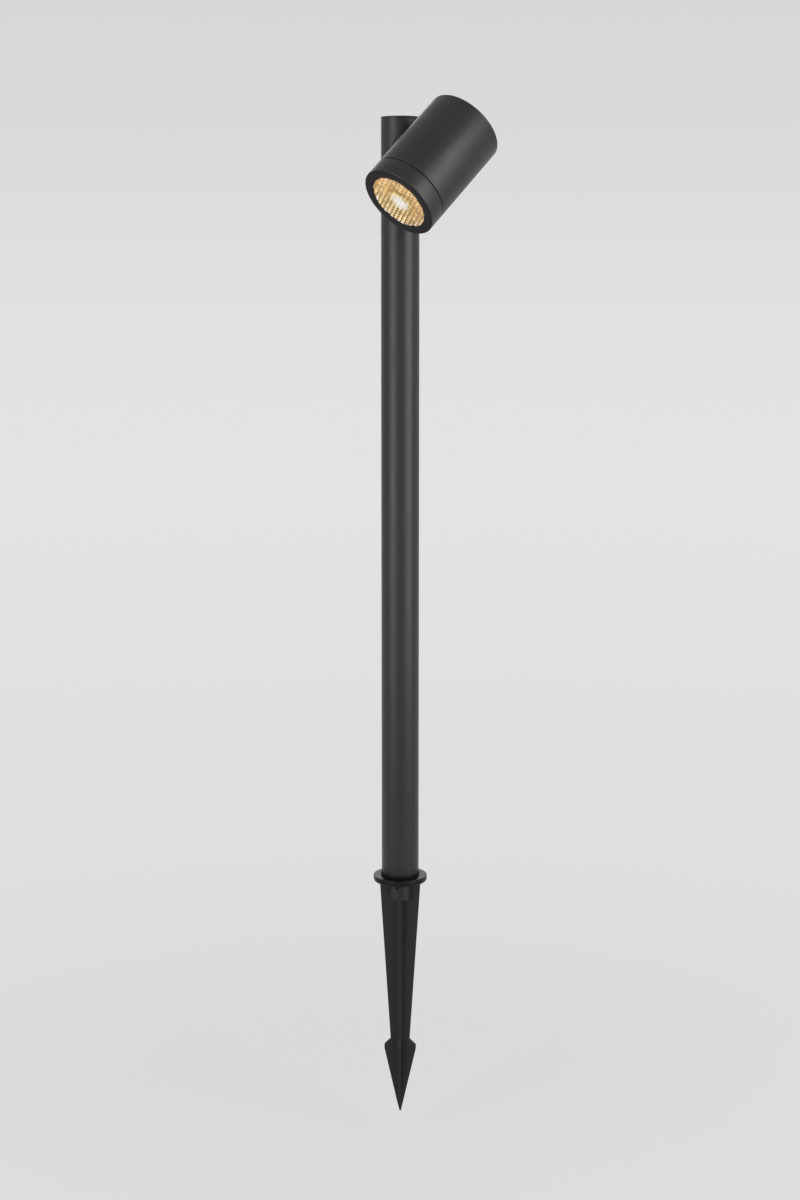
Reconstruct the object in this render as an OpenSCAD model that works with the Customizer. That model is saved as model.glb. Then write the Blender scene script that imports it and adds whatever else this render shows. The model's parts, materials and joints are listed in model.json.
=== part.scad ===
// Garden post light: a tilting cylinder head beside the top of a round post, with a push-in spike.
// The origin is on the post's axis at the flange's underside, which rests on the ground. +Z is up,
// the beam leaves towards -Y and the head sits on the +X side of the post. Sizes are millimetres.

/* [Post] */
// Outer diameter of the post tube
post_d = 30; // [27:0.5:38]
// Wall of the post tube
post_wall = 2; // [1.6:0.1:2.6]
// Length of the post tube
post_l = 600; // [250:10:1000]
// Height of the cap's rim above the tube
cap_rim = 1.5; // [1:0.1:4]
// Depth of the cap's plug inside the tube
cap_plug = 7; // [5:0.5:9]
// Thickness of the cord of the cap's sealing ring
cap_ring_d = 2; // [1.6:0.1:2.6]

/* [Base] */
// Diameter of the flange that rests on the ground
flange_d = 43.4; // [40:0.2:70]
// Thickness of the flange
flange_t = 5; // [4:0.5:8]
// Rounding of the flange's lower edge
flange_round = 1.8; // [0.5:0.1:2.5]
// Diameter of the rubber disc under the post
base_gasket_d = 31.6; // [28:0.2:38]
// Thickness of the rubber disc
base_gasket_t = 2; // [1:0.5:4]
// Length of the spigot inside the post, from the flange up
spigot_l = 38; // [25:1:42]
// Bore of the spigot
spigot_bore_d = 16; // [8:1:16]
// Diameter of the stub that turns in the spike
stub_d = 12; // [10:0.5:13]
// Length of the stub
stub_l = 13.5; // [12:0.5:20]
// Width of the groove in the stub that takes the lock screw
groove_w = 4.6; // [4.4:0.1:6]
// Depth of that groove
groove_depth = 1.3; // [0.8:0.1:1.5]
// Height of the two fixing screws above the flange
base_screw_h = 20; // [10:1:22]

/* [Cable inlet] */
// Height of the inlet's centre above the ground
inlet_h = 62; // [60:1:150]
// Bore of the inlet for the supply cable
cable_d = 7; // [5:0.5:8]
// Wall of the grommet's sleeve
grommet_wall = 1.6; // [1:0.1:2]
// How far the grommet's lips reach past its sleeve
grommet_lip = 1.8; // [1:0.1:2]
// Thickness of each lip
grommet_lip_t = 0.9; // [0.6:0.1:1.2]

/* [Spike] */
// Depth of the spike's point below the ground
spike_l = 199; // [175:1:300]
// Diameter of the spike's hub
hub_d = 18.5; // [18:0.5:24]
// Length of the hub
hub_l = 15.5; // [15:0.5:24]
// Thickness of the fins
fin_t = 2.4; // [1.8:0.1:4]
// Half-width of the wide fins under the flange
fin_top = 16.6; // [12:0.2:19]
// Half-width of the wide fins at the neck
fin_neck = 7.8; // [5:0.1:10]
// Half-width of the wide fins at the barb
fin_barb = 13; // [10.5:0.5:18]
// Half-width of the narrow fins under the hub
rib_top = 9.2; // [6:0.2:11]
// Half-width of the narrow fins at the neck
rib_neck = 5.4; // [3:0.2:7]
// Half-width of the narrow fins at the barb
rib_barb = 8.6; // [7.2:0.2:12]
// Depth of the neck below the ground
neck_depth = 136; // [100:1:150]
// Height of the sloping shoulder between the neck and the barb
shoulder_h = 5; // [2:0.5:10]
// Height of the straight edge of the barb
barb_h = 3.5; // [1:0.5:8]
// Turn of the wide fins about the post, away from the tilt axis
spike_turn = 45; // [0:1:180]
// Turn of the lock screw from the narrow fin
lock_turn = 9; // [0:1:20]

/* [Knuckle] */
// Distance of the tilt axis below the tube's top edge
pivot_drop = 21; // [18:0.5:40]
// Outer diameter of the hollow pivot tube
pivot_d = 10; // [9:0.5:11]
// Bore of the pivot tube
pivot_bore_d = 7; // [6:0.5:7]
// Diameter of the knuckle
knuckle_d = 27; // [22:0.5:27]
// Length of the saddle, from the post's surface to the washer
saddle_l = 4.5; // [4:0.5:12]
// Thickness of the friction washer
washer_t = 1; // [0.5:0.1:2]
// Length of the head's boss, from the washer to the head
boss_l = 8.5; // [3:0.5:15]
// Thickness of the sealing ring round the pivot tube
pivot_ring_d = 2; // [1.5:0.1:2]
// Width of the pivot nut across its flats
nut_af = 14; // [13.5:0.5:14.5]
// Thickness of the pivot nut
nut_t = 4; // [2:0.5:4]
// Thickness of the curved pad under the nut, at its middle
pad_t = 4; // [3.6:0.1:4.4]

/* [Head] */
// Diameter of the head
head_d = 61; // [58:0.5:76]
// Length of the head
head_l = 85.5; // [82:0.5:130]
// Distance from the tilt axis to the head's back
tail_l = 18.8; // [18:0.1:24]
// Angle of the beam below the horizontal
beam_down = 42; // [-90:1:90]
// Wall of the housing's front half
head_wall = 4; // [3.6:0.1:5]
// Extra wall behind the step that carries the heat sink
step_w = 1.5; // [1:0.1:2]
// Thickness of the housing's back wall
back_wall = 4; // [4:0.5:6]
// Rounding of the housing's back edge
back_round = 0.8; // [0.5:0.1:4]
// Length of the front ring
ring_l = 13.4; // [11:0.1:20]
// Thickness of the front ring's lip
lip_t = 2; // [1.5:0.1:3]
// Diameter of the opening in the front ring
opening_d = 48.8; // [30:0.2:50]
// Rounding of the front ring's outer edge
ring_round = 0.7; // [0.4:0.1:2]
// Wall of the front ring round the housing's neck
ring_wall = 2; // [1.5:0.1:2.2]
// Width of the seam between the ring and the housing
seam_gap = 0.8; // [0.4:0.1:1.5]

/* [Lens] */
// Thickness of the lens's rim
lens_rim_t = 3; // [2:0.1:4]
// Depth of the facets' tips below the ring's front face
lens_recess = 0.2; // [0.1:0.1:1]
// Height of the facets
facet_h = 0.5; // [0.2:0.1:1]
// Number of facets round the lens
facet_count = 42; // [24:2:72]
// Number of rows of facets from the middle to the rim
facet_rows = 9; // [3:1:9]
// Radius of the middle disc inside the first row
facet_core_r = 2.4; // [1.5:0.1:4]
// Thickness of the lens gasket
lens_gasket_t = 1.2; // [0.8:0.1:2]

/* [Light engine] */
// Distance from the tilt axis to the step that carries the heat sink
step_dist = 30; // [28:0.5:32]
// Thickness of the heat sink's plate
sink_plate_t = 5; // [4:0.5:6]
// Depth of the heat sink's fins behind the plate
sink_fin_l = 18; // [8:1:20]
// Number of heat sink fins
sink_fins = 20; // [12:4:24]
// Thickness of a heat sink fin
sink_fin_t = 1.6; // [1:0.1:1.8]
// Diameter of the heat sink's core
sink_core_d = 16; // [10:1:20]
// Diameter of the lamp's circuit board
board_d = 44; // [42:1:46]
// Thickness of both circuit boards
board_t = 1.6; // [1:0.1:2]
// Diameter of the light chip
chip_d = 14; // [10:0.5:14]
// Thickness of the reflector's metal
reflector_t = 0.8; // [0.5:0.1:1]
// Diameter of the driver's case
driver_d = 42; // [41:0.5:44]
// Height of the driver's case
driver_h = 11; // [10:0.5:12]
// Wall of the driver's case
driver_wall = 1.5; // [1:0.1:2]
// Diameter of each supply lead
lead_d = 2.2; // [1.6:0.1:2.4]
// Diameter of each lamp lead between the driver and the board
lamp_lead_d = 1.4; // [1:0.1:1.6]

/* [Screws and fits] */
// Diameter of the grub screws in the base and the spike
grub_d = 4; // [3:0.5:4]
// Width across the flats of their sockets
grub_socket = 2; // [1.5:0.5:2]
// Diameter of the screws inside the head
screw_d = 3; // [2.5:0.5:3]
// Radial clearance of the pieces that turn in each other
turn_gap = 0.06; // [0.03:0.01:0.09]
// Clearance between curved faces that sit on each other
seat_gap = 0.05; // [0.02:0.01:0.1]
// Radial clearance of pieces that slide into each other once
slip_gap = 0.15; // [0.1:0.05:0.3]

/* [Hidden] */
$fn = 96;

powder_coat = [0.16, 0.16, 0.165];
black_plastic = [0.11, 0.11, 0.11];
black_rubber = [0.06, 0.06, 0.06];
clear_silicone = [0.78, 0.78, 0.74];
bright_metal = [0.78, 0.78, 0.8];
brass_metal = [0.75, 0.6, 0.32];
steel_metal = [0.45, 0.45, 0.47];
black_steel = [0.17, 0.17, 0.175];
lens_gold = [0.86, 0.68, 0.4];
board_white = [0.9, 0.9, 0.88];
board_green = [0.1, 0.35, 0.2];
chip_yellow = [0.95, 0.85, 0.35];
lead_brown = [0.35, 0.2, 0.12];
lead_red = [0.6, 0.12, 0.1];

// Overlap that joins solids of one piece, and the overshoot of cuts
eps = 0.05;
cut = 1;

post_r = post_d / 2;
post_in_r = post_r - post_wall;
post_z = flange_t + base_gasket_t;
post_top = post_z + post_l;
pivot_z = post_top - pivot_drop;

flange_r = flange_d / 2;
spigot_r = post_in_r - slip_gap;
spigot_floor = 4;
spigot_bevel = 1;
stub_r = stub_d / 2;
stub_bevel = 1;
// The groove's middle lies this far below the ground, and the lock screw with it
groove_mid = 4.8;
grub_r = grub_d / 2;
grub_hole_r = grub_r + seat_gap;
base_screw_z = post_z + base_screw_h;
// One fixing screw points away from the beam and one away from the head
base_screw_turns = [90, 180];

hub_r = hub_d / 2;
hub_edge = 0.8;
core_r = fin_t * 0.9;
socket_depth = stub_l + 0.5;
// The fins start this far below the flange, so that it turns above them
flange_run = 0.5;
barb_z = neck_depth + shoulder_h;
taper_z = barb_z + barb_h;
tip_r = 0.6;

pivot_r = pivot_d / 2;
pivot_hole_r = pivot_r + turn_gap;
knuckle_r = knuckle_d / 2;
knuckle_edge = 0.6;
// The washer and the cap's edge stay this far inside the knuckle's and the post's surface
washer_inset = 0.4;
cap_edge = 0.4;
saddle_x = post_r + saddle_l;
boss_x = saddle_x + washer_t;
head_r = head_d / 2;
head_x = boss_x + boss_l + head_r;
pad_margin = 0.4;
pad_r = nut_af / 2 / cos(30) + pad_margin;
pad_x = post_in_r - pad_t;
nut_x = pad_x - nut_t - seat_gap;
// How far the pivot tube reaches past its nut, and the supply leads past the tube
tube_reach = 1;
lead_reach = 3;
pivot_end_x = nut_x - tube_reach;

bore_r = head_r - head_wall;
rear_bore_r = bore_r - step_w;
neck_r = head_r - ring_wall - slip_gap;
back_z = -tail_l;
front_z = head_l - tail_l;
seam_z = front_z - ring_l;
shoulder_z = seam_z - seam_gap;
lens_front_z = front_z - lip_t;
lens_back_z = lens_front_z - lens_rim_t;
neck_z = lens_back_z - lens_gasket_t;
opening_r = opening_d / 2;
lens_r = opening_r - slip_gap;
lens_rim_r = neck_r - slip_gap;
facet_z = front_z - lens_recess - facet_h;

sink_top = step_dist + sink_plate_t;
board_top = sink_top + board_t;
chip_t = 1;
glow_t = 0.4;
chip_margin = 0.8;
foot_r = chip_d / 2 + chip_margin;
rim_r = bore_r - slip_gap;
// Width of the reflector's flat rim outside its mirror
mirror_rim = 1.2;
mirror_r = rim_r - mirror_rim;
board_screw_r = 17;
head_screw_r = screw_d * 0.9;
head_screw_h = 1.8;
// Added to the diameter of holes that screws and leads pass through
hole_play = 0.3;

inner_back_z = back_z + back_wall;
driver_r = driver_d / 2;
driver_ledge = 3;
driver_board_z = inner_back_z + driver_wall + driver_ledge;
driver_board_top = driver_board_z + board_t;
driver_screw_r = 14.5;
driver_pillar_r = 3.4;
// Depth of the driver's screws in the housing's back wall
driver_bite = 2.6;
lamp_lead_r = 12.6;
supply_lead_x = -13;
supply_lead_gap = 0.3;
supply_lead_y = (lead_d + supply_lead_gap) / 2;
supply_bend_r = 4;
supply_end_x = pivot_end_x - lead_reach;

// Puts a piece of the head in its place: here +Z is the beam and the origin is on the tilt axis
module in_head() {
    translate([head_x, 0, pivot_z]) rotate([90 + beam_down, 0, 0]) children();
}

// Puts a piece on the tilt axis: here +Z runs from the post towards the head
module on_pivot(x) {
    translate([x, 0, pivot_z]) rotate([0, 90, 0]) children();
}

module ring(r_out, r_in, h) {
    difference() {
        cylinder(r = r_out, h = h);
        translate([0, 0, -cut]) cylinder(r = r_in, h = h + 2 * cut);
    }
}

// Turned solid with a rounded edge at its foot
module round_foot(r, h, edge) {
    rotate_extrude() {
        square([r - edge, h]);
        translate([0, edge]) square([r, h - edge]);
        translate([r - edge, edge]) intersection() {
            circle(r = edge, $fn = 48);
            translate([0, -edge]) square(edge);
        }
    }
}

// Turned solid with a bevelled edge at its top
module bevel_top(r, h, edge) {
    cylinder(r = r, h = h - edge);
    translate([0, 0, h - edge]) cylinder(r1 = r, r2 = r - edge, h = edge);
}

// Grub screw along +X, from its tip to the socket in its outer end
module grub_screw(tip_x, end_x) {
    key_depth = 1.8;
    rotate([0, 90, 0]) difference() {
        translate([0, 0, tip_x]) cylinder(r = grub_r, h = end_x - tip_x, $fn = 48);
        translate([0, 0, end_x - key_depth])
            cylinder(r = grub_socket / 2 / cos(30), h = key_depth + cut, $fn = 6);
    }
}

// Pan-head screw with its head's seat at z = 0 and the shank below
module head_screw(length) {
    difference() {
        cylinder(r = head_screw_r, h = head_screw_h, $fn = 48);
        translate([0, 0, head_screw_h / 2])
            cylinder(r = screw_d / 3, h = head_screw_h, $fn = 6);
    }
    translate([0, 0, -length]) cylinder(r = screw_d / 2 - seat_gap, h = length + eps, $fn = 48);
}

// Half-profile of a pair of fins, mirrored to both sides of the spike's axis
module fin_pair(top, neck, barb) {
    rotate([90, 0, 0]) linear_extrude(fin_t, center = true) for (side = [0, 1]) mirror([side, 0])
        polygon([
            [0, -flange_run], [top, -flange_run], [neck, -neck_depth], [barb, -barb_z],
            [barb, -taper_z], [tip_r, -spike_l], [0, -spike_l]
        ]);
}

module ground_spike() {
    point_r = max(fin_barb, rib_barb) + fin_t;
    color(black_plastic) rotate([0, 0, spike_turn]) difference() {
        union() {
            intersection() {
                union() {
                    fin_pair(fin_top, fin_neck, fin_barb);
                    rotate([0, 0, 90]) fin_pair(rib_top, rib_neck, rib_barb);
                }
                union() {
                    translate([0, 0, -taper_z]) cylinder(r = fin_top + fin_barb, h = taper_z);
                    translate([0, 0, -spike_l])
                        cylinder(r1 = tip_r, r2 = point_r, h = spike_l - taper_z);
                }
            }
            translate([0, 0, -neck_depth]) cylinder(r = core_r, h = neck_depth - hub_l + eps);
            translate([0, 0, -hub_l]) round_foot(hub_r, hub_l, hub_edge);
        }
        translate([0, 0, -socket_depth]) cylinder(r = stub_r + turn_gap, h = socket_depth + cut);
        rotate([0, 0, -90 - lock_turn]) translate([0, 0, -groove_mid]) rotate([0, 90, 0])
            cylinder(r = grub_hole_r, h = hub_r + cut, $fn = 48);
    }
}

module spike_lock_screw() {
    tip_play = 0.2;
    tip_x = stub_r - groove_depth + tip_play;
    end_x = sqrt(hub_r * hub_r - grub_r * grub_r);
    color(black_steel) rotate([0, 0, spike_turn - 90 - lock_turn]) translate([0, 0, -groove_mid])
        grub_screw(tip_x, end_x);
}

module base_flange() {
    color(powder_coat) difference() {
        union() {
            round_foot(flange_r, flange_t, flange_round);
            translate([0, 0, flange_t - eps]) bevel_top(spigot_r, spigot_l + eps, spigot_bevel);
            rotate([180, 0, 0]) translate([0, 0, -eps]) bevel_top(stub_r, stub_l + eps, stub_bevel);
        }
        translate([0, 0, spigot_floor]) cylinder(d = spigot_bore_d, h = flange_t + spigot_l);
        translate([0, 0, -groove_mid - groove_w / 2])
            ring(stub_r + cut, stub_r - groove_depth, groove_w);
        for (turn = base_screw_turns) rotate([0, 0, turn]) translate([0, 0, base_screw_z])
            rotate([0, 90, 0]) cylinder(r = grub_hole_r, h = post_r, $fn = 48);
    }
}

module base_gasket() {
    color(black_rubber) translate([0, 0, flange_t])
        ring(base_gasket_d / 2, spigot_r + seat_gap, base_gasket_t);
}

module base_screws() {
    bore_margin = 0.5;
    sink = 0.1;
    tip_x = spigot_bore_d / 2 + bore_margin;
    end_x = sqrt(post_r * post_r - grub_r * grub_r) - sink;
    color(black_steel) for (turn = base_screw_turns)
        rotate([0, 0, turn]) translate([0, 0, base_screw_z]) grub_screw(tip_x, end_x);
}

module post_tube() {
    inlet_r = cable_d / 2 + grommet_wall + seat_gap;
    color(powder_coat) difference() {
        translate([0, 0, post_z]) ring(post_r, post_in_r, post_l);
        on_pivot(0) cylinder(r = pivot_hole_r, h = post_d);
        translate([0, 0, inlet_h]) rotate([0, -90, 0]) cylinder(r = inlet_r, h = post_d);
        for (turn = base_screw_turns) rotate([0, 0, turn]) translate([0, 0, base_screw_z])
            rotate([0, 90, 0]) cylinder(r = grub_hole_r, h = post_d, $fn = 48);
    }
}

// Rubber grommet with a lip on each side of the tube's wall
module cable_grommet() {
    sleeve_r = cable_d / 2 + grommet_wall;
    sleeve_reach = 1;
    lip_r = sleeve_r + grommet_lip;
    in_x = post_in_r - grommet_lip_t - sleeve_reach;
    out_x = post_r + grommet_lip_t;
    color(black_rubber) translate([0, 0, inlet_h]) rotate([0, 0, 180]) difference() {
        union() {
            translate([in_x, 0, 0]) rotate([0, 90, 0]) cylinder(r = sleeve_r, h = out_x - in_x);
            intersection() {
                rotate([0, 90, 0]) cylinder(r = lip_r, h = post_d);
                translate([0, 0, -lip_r]) union() {
                    ring(post_r + grommet_lip_t, post_r + seat_gap, 2 * lip_r);
                    ring(post_in_r - seat_gap, post_in_r - grommet_lip_t, 2 * lip_r);
                }
            }
        }
        rotate([0, 90, 0]) cylinder(d = cable_d, h = post_d);
    }
}

module post_cap() {
    plug_wall = 2;
    plug_r = post_in_r - slip_gap;
    groove_r = post_in_r - cap_ring_d - seat_gap;
    color(powder_coat) translate([0, 0, post_top]) difference() {
        union() {
            bevel_top(post_r, cap_rim, cap_edge);
            translate([0, 0, -cap_plug]) cylinder(r = plug_r, h = cap_plug + eps);
        }
        translate([0, 0, -cap_plug - cut]) cylinder(r = groove_r - plug_wall, h = cap_plug + cut);
        translate([0, 0, -(cap_plug + cap_ring_d) / 2 - seat_gap])
            ring(post_r, groove_r, cap_ring_d + 2 * seat_gap);
    }
}

module cap_ring() {
    color(black_rubber) translate([0, 0, post_top - cap_plug / 2]) rotate_extrude()
        translate([post_in_r - cap_ring_d / 2 - seat_gap / 2, 0]) circle(d = cap_ring_d, $fn = 32);
}

// Saddle with a hollow that fits the post, and a pocket for the sealing ring in its face
module pivot_saddle() {
    pocket_r = pivot_hole_r + pivot_ring_d + seat_gap;
    color(powder_coat) difference() {
        on_pivot(0) cylinder(r = knuckle_r, h = saddle_x);
        cylinder(r = post_r + seat_gap, h = post_top + post_d);
        on_pivot(0) cylinder(r = pivot_hole_r, h = saddle_x + cut);
        on_pivot(saddle_x - pivot_ring_d - seat_gap) cylinder(r = pocket_r, h = pivot_ring_d + cut);
    }
}

module pivot_seal() {
    color(black_rubber) on_pivot(saddle_x - pivot_ring_d / 2 - seat_gap / 2) rotate_extrude()
        translate([pivot_hole_r + pivot_ring_d / 2, 0]) circle(d = pivot_ring_d, $fn = 32);
}

module friction_washer() {
    color(black_plastic) on_pivot(saddle_x)
        ring(knuckle_r - washer_inset, pivot_hole_r, washer_t - seat_gap);
}

// Pad inside the tube: curved to the wall on one side, flat for the nut on the other
module pivot_pad() {
    color(bright_metal) difference() {
        intersection() {
            on_pivot(pad_x) cylinder(r = pad_r, h = pad_t + cut);
            cylinder(r = post_in_r - seat_gap, h = post_top);
        }
        on_pivot(0) cylinder(r = pivot_hole_r, h = post_r);
    }
}

// Hollow threaded tube: fixed in the head's boss, it turns in the saddle and in the post's wall
module pivot_tube() {
    color(brass_metal) on_pivot(pivot_end_x)
        ring(pivot_r, pivot_bore_d / 2, head_x - rear_bore_r - pivot_end_x);
}

module pivot_nut() {
    color(brass_metal) on_pivot(nut_x) difference() {
        cylinder(r = nut_af / 2 / cos(30), h = nut_t, $fn = 6);
        translate([0, 0, -cut]) cylinder(r = pivot_r + seat_gap, h = nut_t + 2 * cut);
    }
}

module head_housing() {
    boss_h = boss_l + head_wall;
    color(powder_coat) in_head() difference() {
        union() {
            translate([0, 0, back_z]) round_foot(head_r, shoulder_z - back_z, back_round);
            cylinder(r = neck_r, h = neck_z);
            translate([boss_x - head_x + boss_h, 0, 0]) rotate([0, -90, 0])
                bevel_top(knuckle_r, boss_h, knuckle_edge);
        }
        translate([0, 0, step_dist]) cylinder(r = bore_r, h = front_z);
        translate([0, 0, inner_back_z]) cylinder(r = rear_bore_r, h = front_z);
        rotate([0, -90, 0]) cylinder(r = pivot_r + seat_gap, h = head_x);
        driver_spots() translate([0, 0, inner_back_z - driver_bite - hole_play])
            cylinder(d = screw_d, h = driver_bite + cut, $fn = 48);
    }
}

module front_ring() {
    color(powder_coat) in_head() difference() {
        translate([0, 0, front_z]) rotate([180, 0, 0]) round_foot(head_r, ring_l, ring_round);
        translate([0, 0, seam_z - cut]) cylinder(r = neck_r + slip_gap, h = ring_l - lip_t + cut);
        translate([0, 0, seam_z]) cylinder(r = opening_r, h = ring_l + cut);
    }
}

module ring_seal() {
    seal_inset = 0.6;
    color(black_rubber) in_head() translate([0, 0, shoulder_z])
        ring(head_r - seal_inset, neck_r + seat_gap, seam_gap);
}

function on_circle(r, turn, z) = [r * cos(turn), r * sin(turn), z];

// Face of the lens: rows of four-sided pyramids round the middle, closed by a flat back
module lens_facets(r_out, thick) {
    n = facet_count;
    rows = facet_rows;
    row_r = [for (i = [0:rows]) facet_core_r + (r_out - facet_core_r) * i / rows];
    corners = [for (i = [0:rows]) for (j = [0:n - 1]) on_circle(row_r[i], j * 360 / n, 0)];
    tips = [for (i = [0:rows - 1]) for (j = [0:n - 1])
        on_circle((row_r[i] + row_r[i + 1]) / 2, (j + 0.5) * 360 / n, facet_h)];
    back = [for (j = [0:n - 1]) on_circle(r_out, j * 360 / n, -thick)];
    first_tip = n * (rows + 1);
    first_back = first_tip + n * rows;
    middle = first_back + n;
    cells = [for (i = [0:rows - 1]) for (j = [0:n - 1])
        let (k = (j + 1) % n, a = i * n + j, b = i * n + k, c = a + n, d = b + n, t = first_tip + a)
            each [[a, t, c], [c, t, d], [d, t, b], [b, t, a]]];
    centre = [for (j = [0:n - 1]) [j, (j + 1) % n, middle]];
    sides = [for (j = [0:n - 1])
        let (k = (j + 1) % n, a = rows * n + j, b = rows * n + k)
            each [[a, b, first_back + j], [b, first_back + k, first_back + j]]];
    floor_face = [[for (j = [0:n - 1]) first_back + j]];
    polyhedron(
        points = concat(corners, tips, back, [[0, 0, facet_h]]),
        faces = concat(cells, centre, sides, floor_face)
    );
}

module front_lens() {
    facet_base = 0.3;
    facet_step = facet_base / 2;
    color(lens_gold) in_head() {
        translate([0, 0, lens_back_z]) cylinder(r = lens_rim_r, h = lens_rim_t);
        translate([0, 0, lens_front_z - eps])
            cylinder(r = lens_r, h = facet_z - facet_step - lens_front_z + eps);
        translate([0, 0, facet_z]) lens_facets(lens_r - 0.1, facet_base);
    }
}

module lens_gasket() {
    color(clear_silicone) in_head() translate([0, 0, neck_z])
        ring(neck_r - slip_gap, bore_r, lens_gasket_t);
}

// Spun cup whose wall follows a parabola from its foot on the board to its rim under the lens
module reflector() {
    depth = lens_back_z - board_top;
    rim_t = 0.8;
    steps = 12;
    slope = (depth - rim_t) / (mirror_r * mirror_r - foot_r * foot_r);
    wall = [for (i = [0:steps]) foot_r + (mirror_r - foot_r) * i / steps];
    color(bright_metal) in_head() translate([0, 0, board_top]) {
        rotate_extrude() polygon(concat(
            [for (r = wall) [r, slope * (r * r - foot_r * foot_r)]],
            [for (i = [steps:-1:0])
                [wall[i] + reflector_t, slope * (wall[i] * wall[i] - foot_r * foot_r)]]
        ));
        translate([0, 0, depth - rim_t - eps]) ring(rim_r, mirror_r, rim_t + eps);
    }
}

module led_chip() {
    glow_margin = 1.5;
    color(chip_yellow) in_head() translate([0, 0, board_top]) {
        cylinder(d = chip_d, h = chip_t);
        cylinder(d = chip_d - 2 * glow_margin, h = chip_t + glow_t);
    }
}

module screw_circle(r) {
    for (turn = [0, 120, 240]) rotate([0, 0, turn]) translate([r, 0, 0]) children();
}

// The two lamp leads pass between fins, half a fin's spacing each side of the one on the +X side
module lamp_lead_spots() {
    spacing = 360 / sink_fins;
    for (side = [-0.5, 0.5]) rotate([0, 0, side * spacing]) translate([lamp_lead_r, 0, 0])
        children();
}

module led_board() {
    color(board_white) in_head() translate([0, 0, sink_top]) difference() {
        cylinder(d = board_d, h = board_t);
        screw_circle(board_screw_r) translate([0, 0, -cut])
            cylinder(d = screw_d + hole_play, h = board_t + 2 * cut, $fn = 48);
        lamp_lead_spots() translate([0, 0, -cut])
            cylinder(d = lamp_lead_d + hole_play, h = board_t + 2 * cut, $fn = 32);
    }
}

module board_screws() {
    plate_left = 1;
    color(steel_metal) in_head() translate([0, 0, board_top]) screw_circle(board_screw_r)
        head_screw(board_t + sink_plate_t - plate_left);
}

module heat_sink() {
    fin_gap = 0.5;
    hole_floor = 0.5;
    // The core and the fins reach this far into what carries them, and the core past the fins
    root = 1;
    fin_r = rear_bore_r - fin_gap;
    fin_root_r = sink_core_d / 2 - root;
    fin_z = step_dist - sink_fin_l;
    color(bright_metal) in_head() difference() {
        union() {
            translate([0, 0, step_dist]) cylinder(r = bore_r - slip_gap, h = sink_plate_t);
            translate([0, 0, fin_z - root]) cylinder(d = sink_core_d, h = sink_fin_l + 2 * root);
            for (i = [0:sink_fins - 1]) rotate([0, 0, i * 360 / sink_fins])
                translate([fin_root_r, -sink_fin_t / 2, fin_z])
                    cube([fin_r - fin_root_r, sink_fin_t, sink_fin_l + root]);
        }
        screw_circle(board_screw_r) translate([0, 0, step_dist + hole_floor])
            cylinder(d = screw_d, h = sink_plate_t + cut, $fn = 48);
        lamp_lead_spots() translate([0, 0, step_dist - cut])
            cylinder(d = lamp_lead_d + hole_play, h = sink_plate_t + 2 * cut, $fn = 32);
    }
}

module driver_spots() {
    for (side = [-1, 1]) translate([0, side * driver_screw_r, 0]) children();
}

module driver_case() {
    ledge_w = 1;
    color(black_plastic) in_head() translate([0, 0, inner_back_z]) difference() {
        union() {
            difference() {
                cylinder(r = driver_r, h = driver_h);
                translate([0, 0, driver_wall])
                    cylinder(r = driver_r - driver_wall - ledge_w, h = driver_h);
                translate([0, 0, driver_wall + driver_ledge])
                    cylinder(r = driver_r - driver_wall, h = driver_h);
            }
            driver_spots() cylinder(r = driver_pillar_r, h = driver_wall + driver_ledge);
        }
        driver_spots() translate([0, 0, -cut])
            cylinder(d = screw_d + hole_play, h = driver_h, $fn = 48);
    }
}

// Driver circuit with its transformer between two capacitors, and two diodes beside the supply leads
module driver_board() {
    transformer = [11, 13, 4.2];
    capacitor_d = 5;
    capacitor_h = 4;
    capacitor_spot = [9, 10];
    diode = [3, 4, 1.2];
    diode_spot = [-11, 7];
    color(board_green) in_head() translate([0, 0, driver_board_z]) {
        difference() {
            cylinder(r = driver_r - driver_wall - slip_gap, h = board_t);
            driver_spots() translate([0, 0, -cut])
                cylinder(d = screw_d + hole_play, h = board_t + 2 * cut, $fn = 48);
        }
        translate([-transformer.x / 2, -transformer.y / 2, board_t - eps]) cube(transformer);
        for (side = [-1, 1]) {
            translate([capacitor_spot.x, side * capacitor_spot.y, board_t - eps])
                cylinder(d = capacitor_d, h = capacitor_h, $fn = 48);
            translate([diode_spot.x, side * diode_spot.y - diode.y / 2, board_t - eps]) cube(diode);
        }
    }
}

module driver_screws() {
    color(steel_metal) in_head() translate([0, 0, driver_board_top]) driver_spots()
        head_screw(board_t + driver_ledge + driver_wall + driver_bite);
}

module lamp_leads() {
    solder_h = 0.6;
    color(lead_red) in_head() lamp_lead_spots() translate([0, 0, driver_board_top])
        cylinder(d = lamp_lead_d, h = board_top + solder_h - driver_board_top, $fn = 32);
}

// Two leads that rise from the driver, turn onto the tilt axis and run through the pivot tube
module supply_leads() {
    rise = -supply_bend_r - driver_board_top;
    run = head_x + supply_lead_x - supply_bend_r - supply_end_x;
    color(lead_brown) in_head() for (side = [-1, 1]) translate([supply_lead_x, side * supply_lead_y, 0]) {
        translate([0, 0, driver_board_top]) cylinder(d = lead_d, h = rise, $fn = 32);
        translate([-supply_bend_r, 0, -supply_bend_r]) rotate([90, 0, 0])
            rotate_extrude(angle = 90) translate([supply_bend_r, 0]) circle(d = lead_d, $fn = 32);
        translate([-supply_bend_r, 0, 0]) rotate([0, -90, 0]) cylinder(d = lead_d, h = run, $fn = 32);
    }
}

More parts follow.
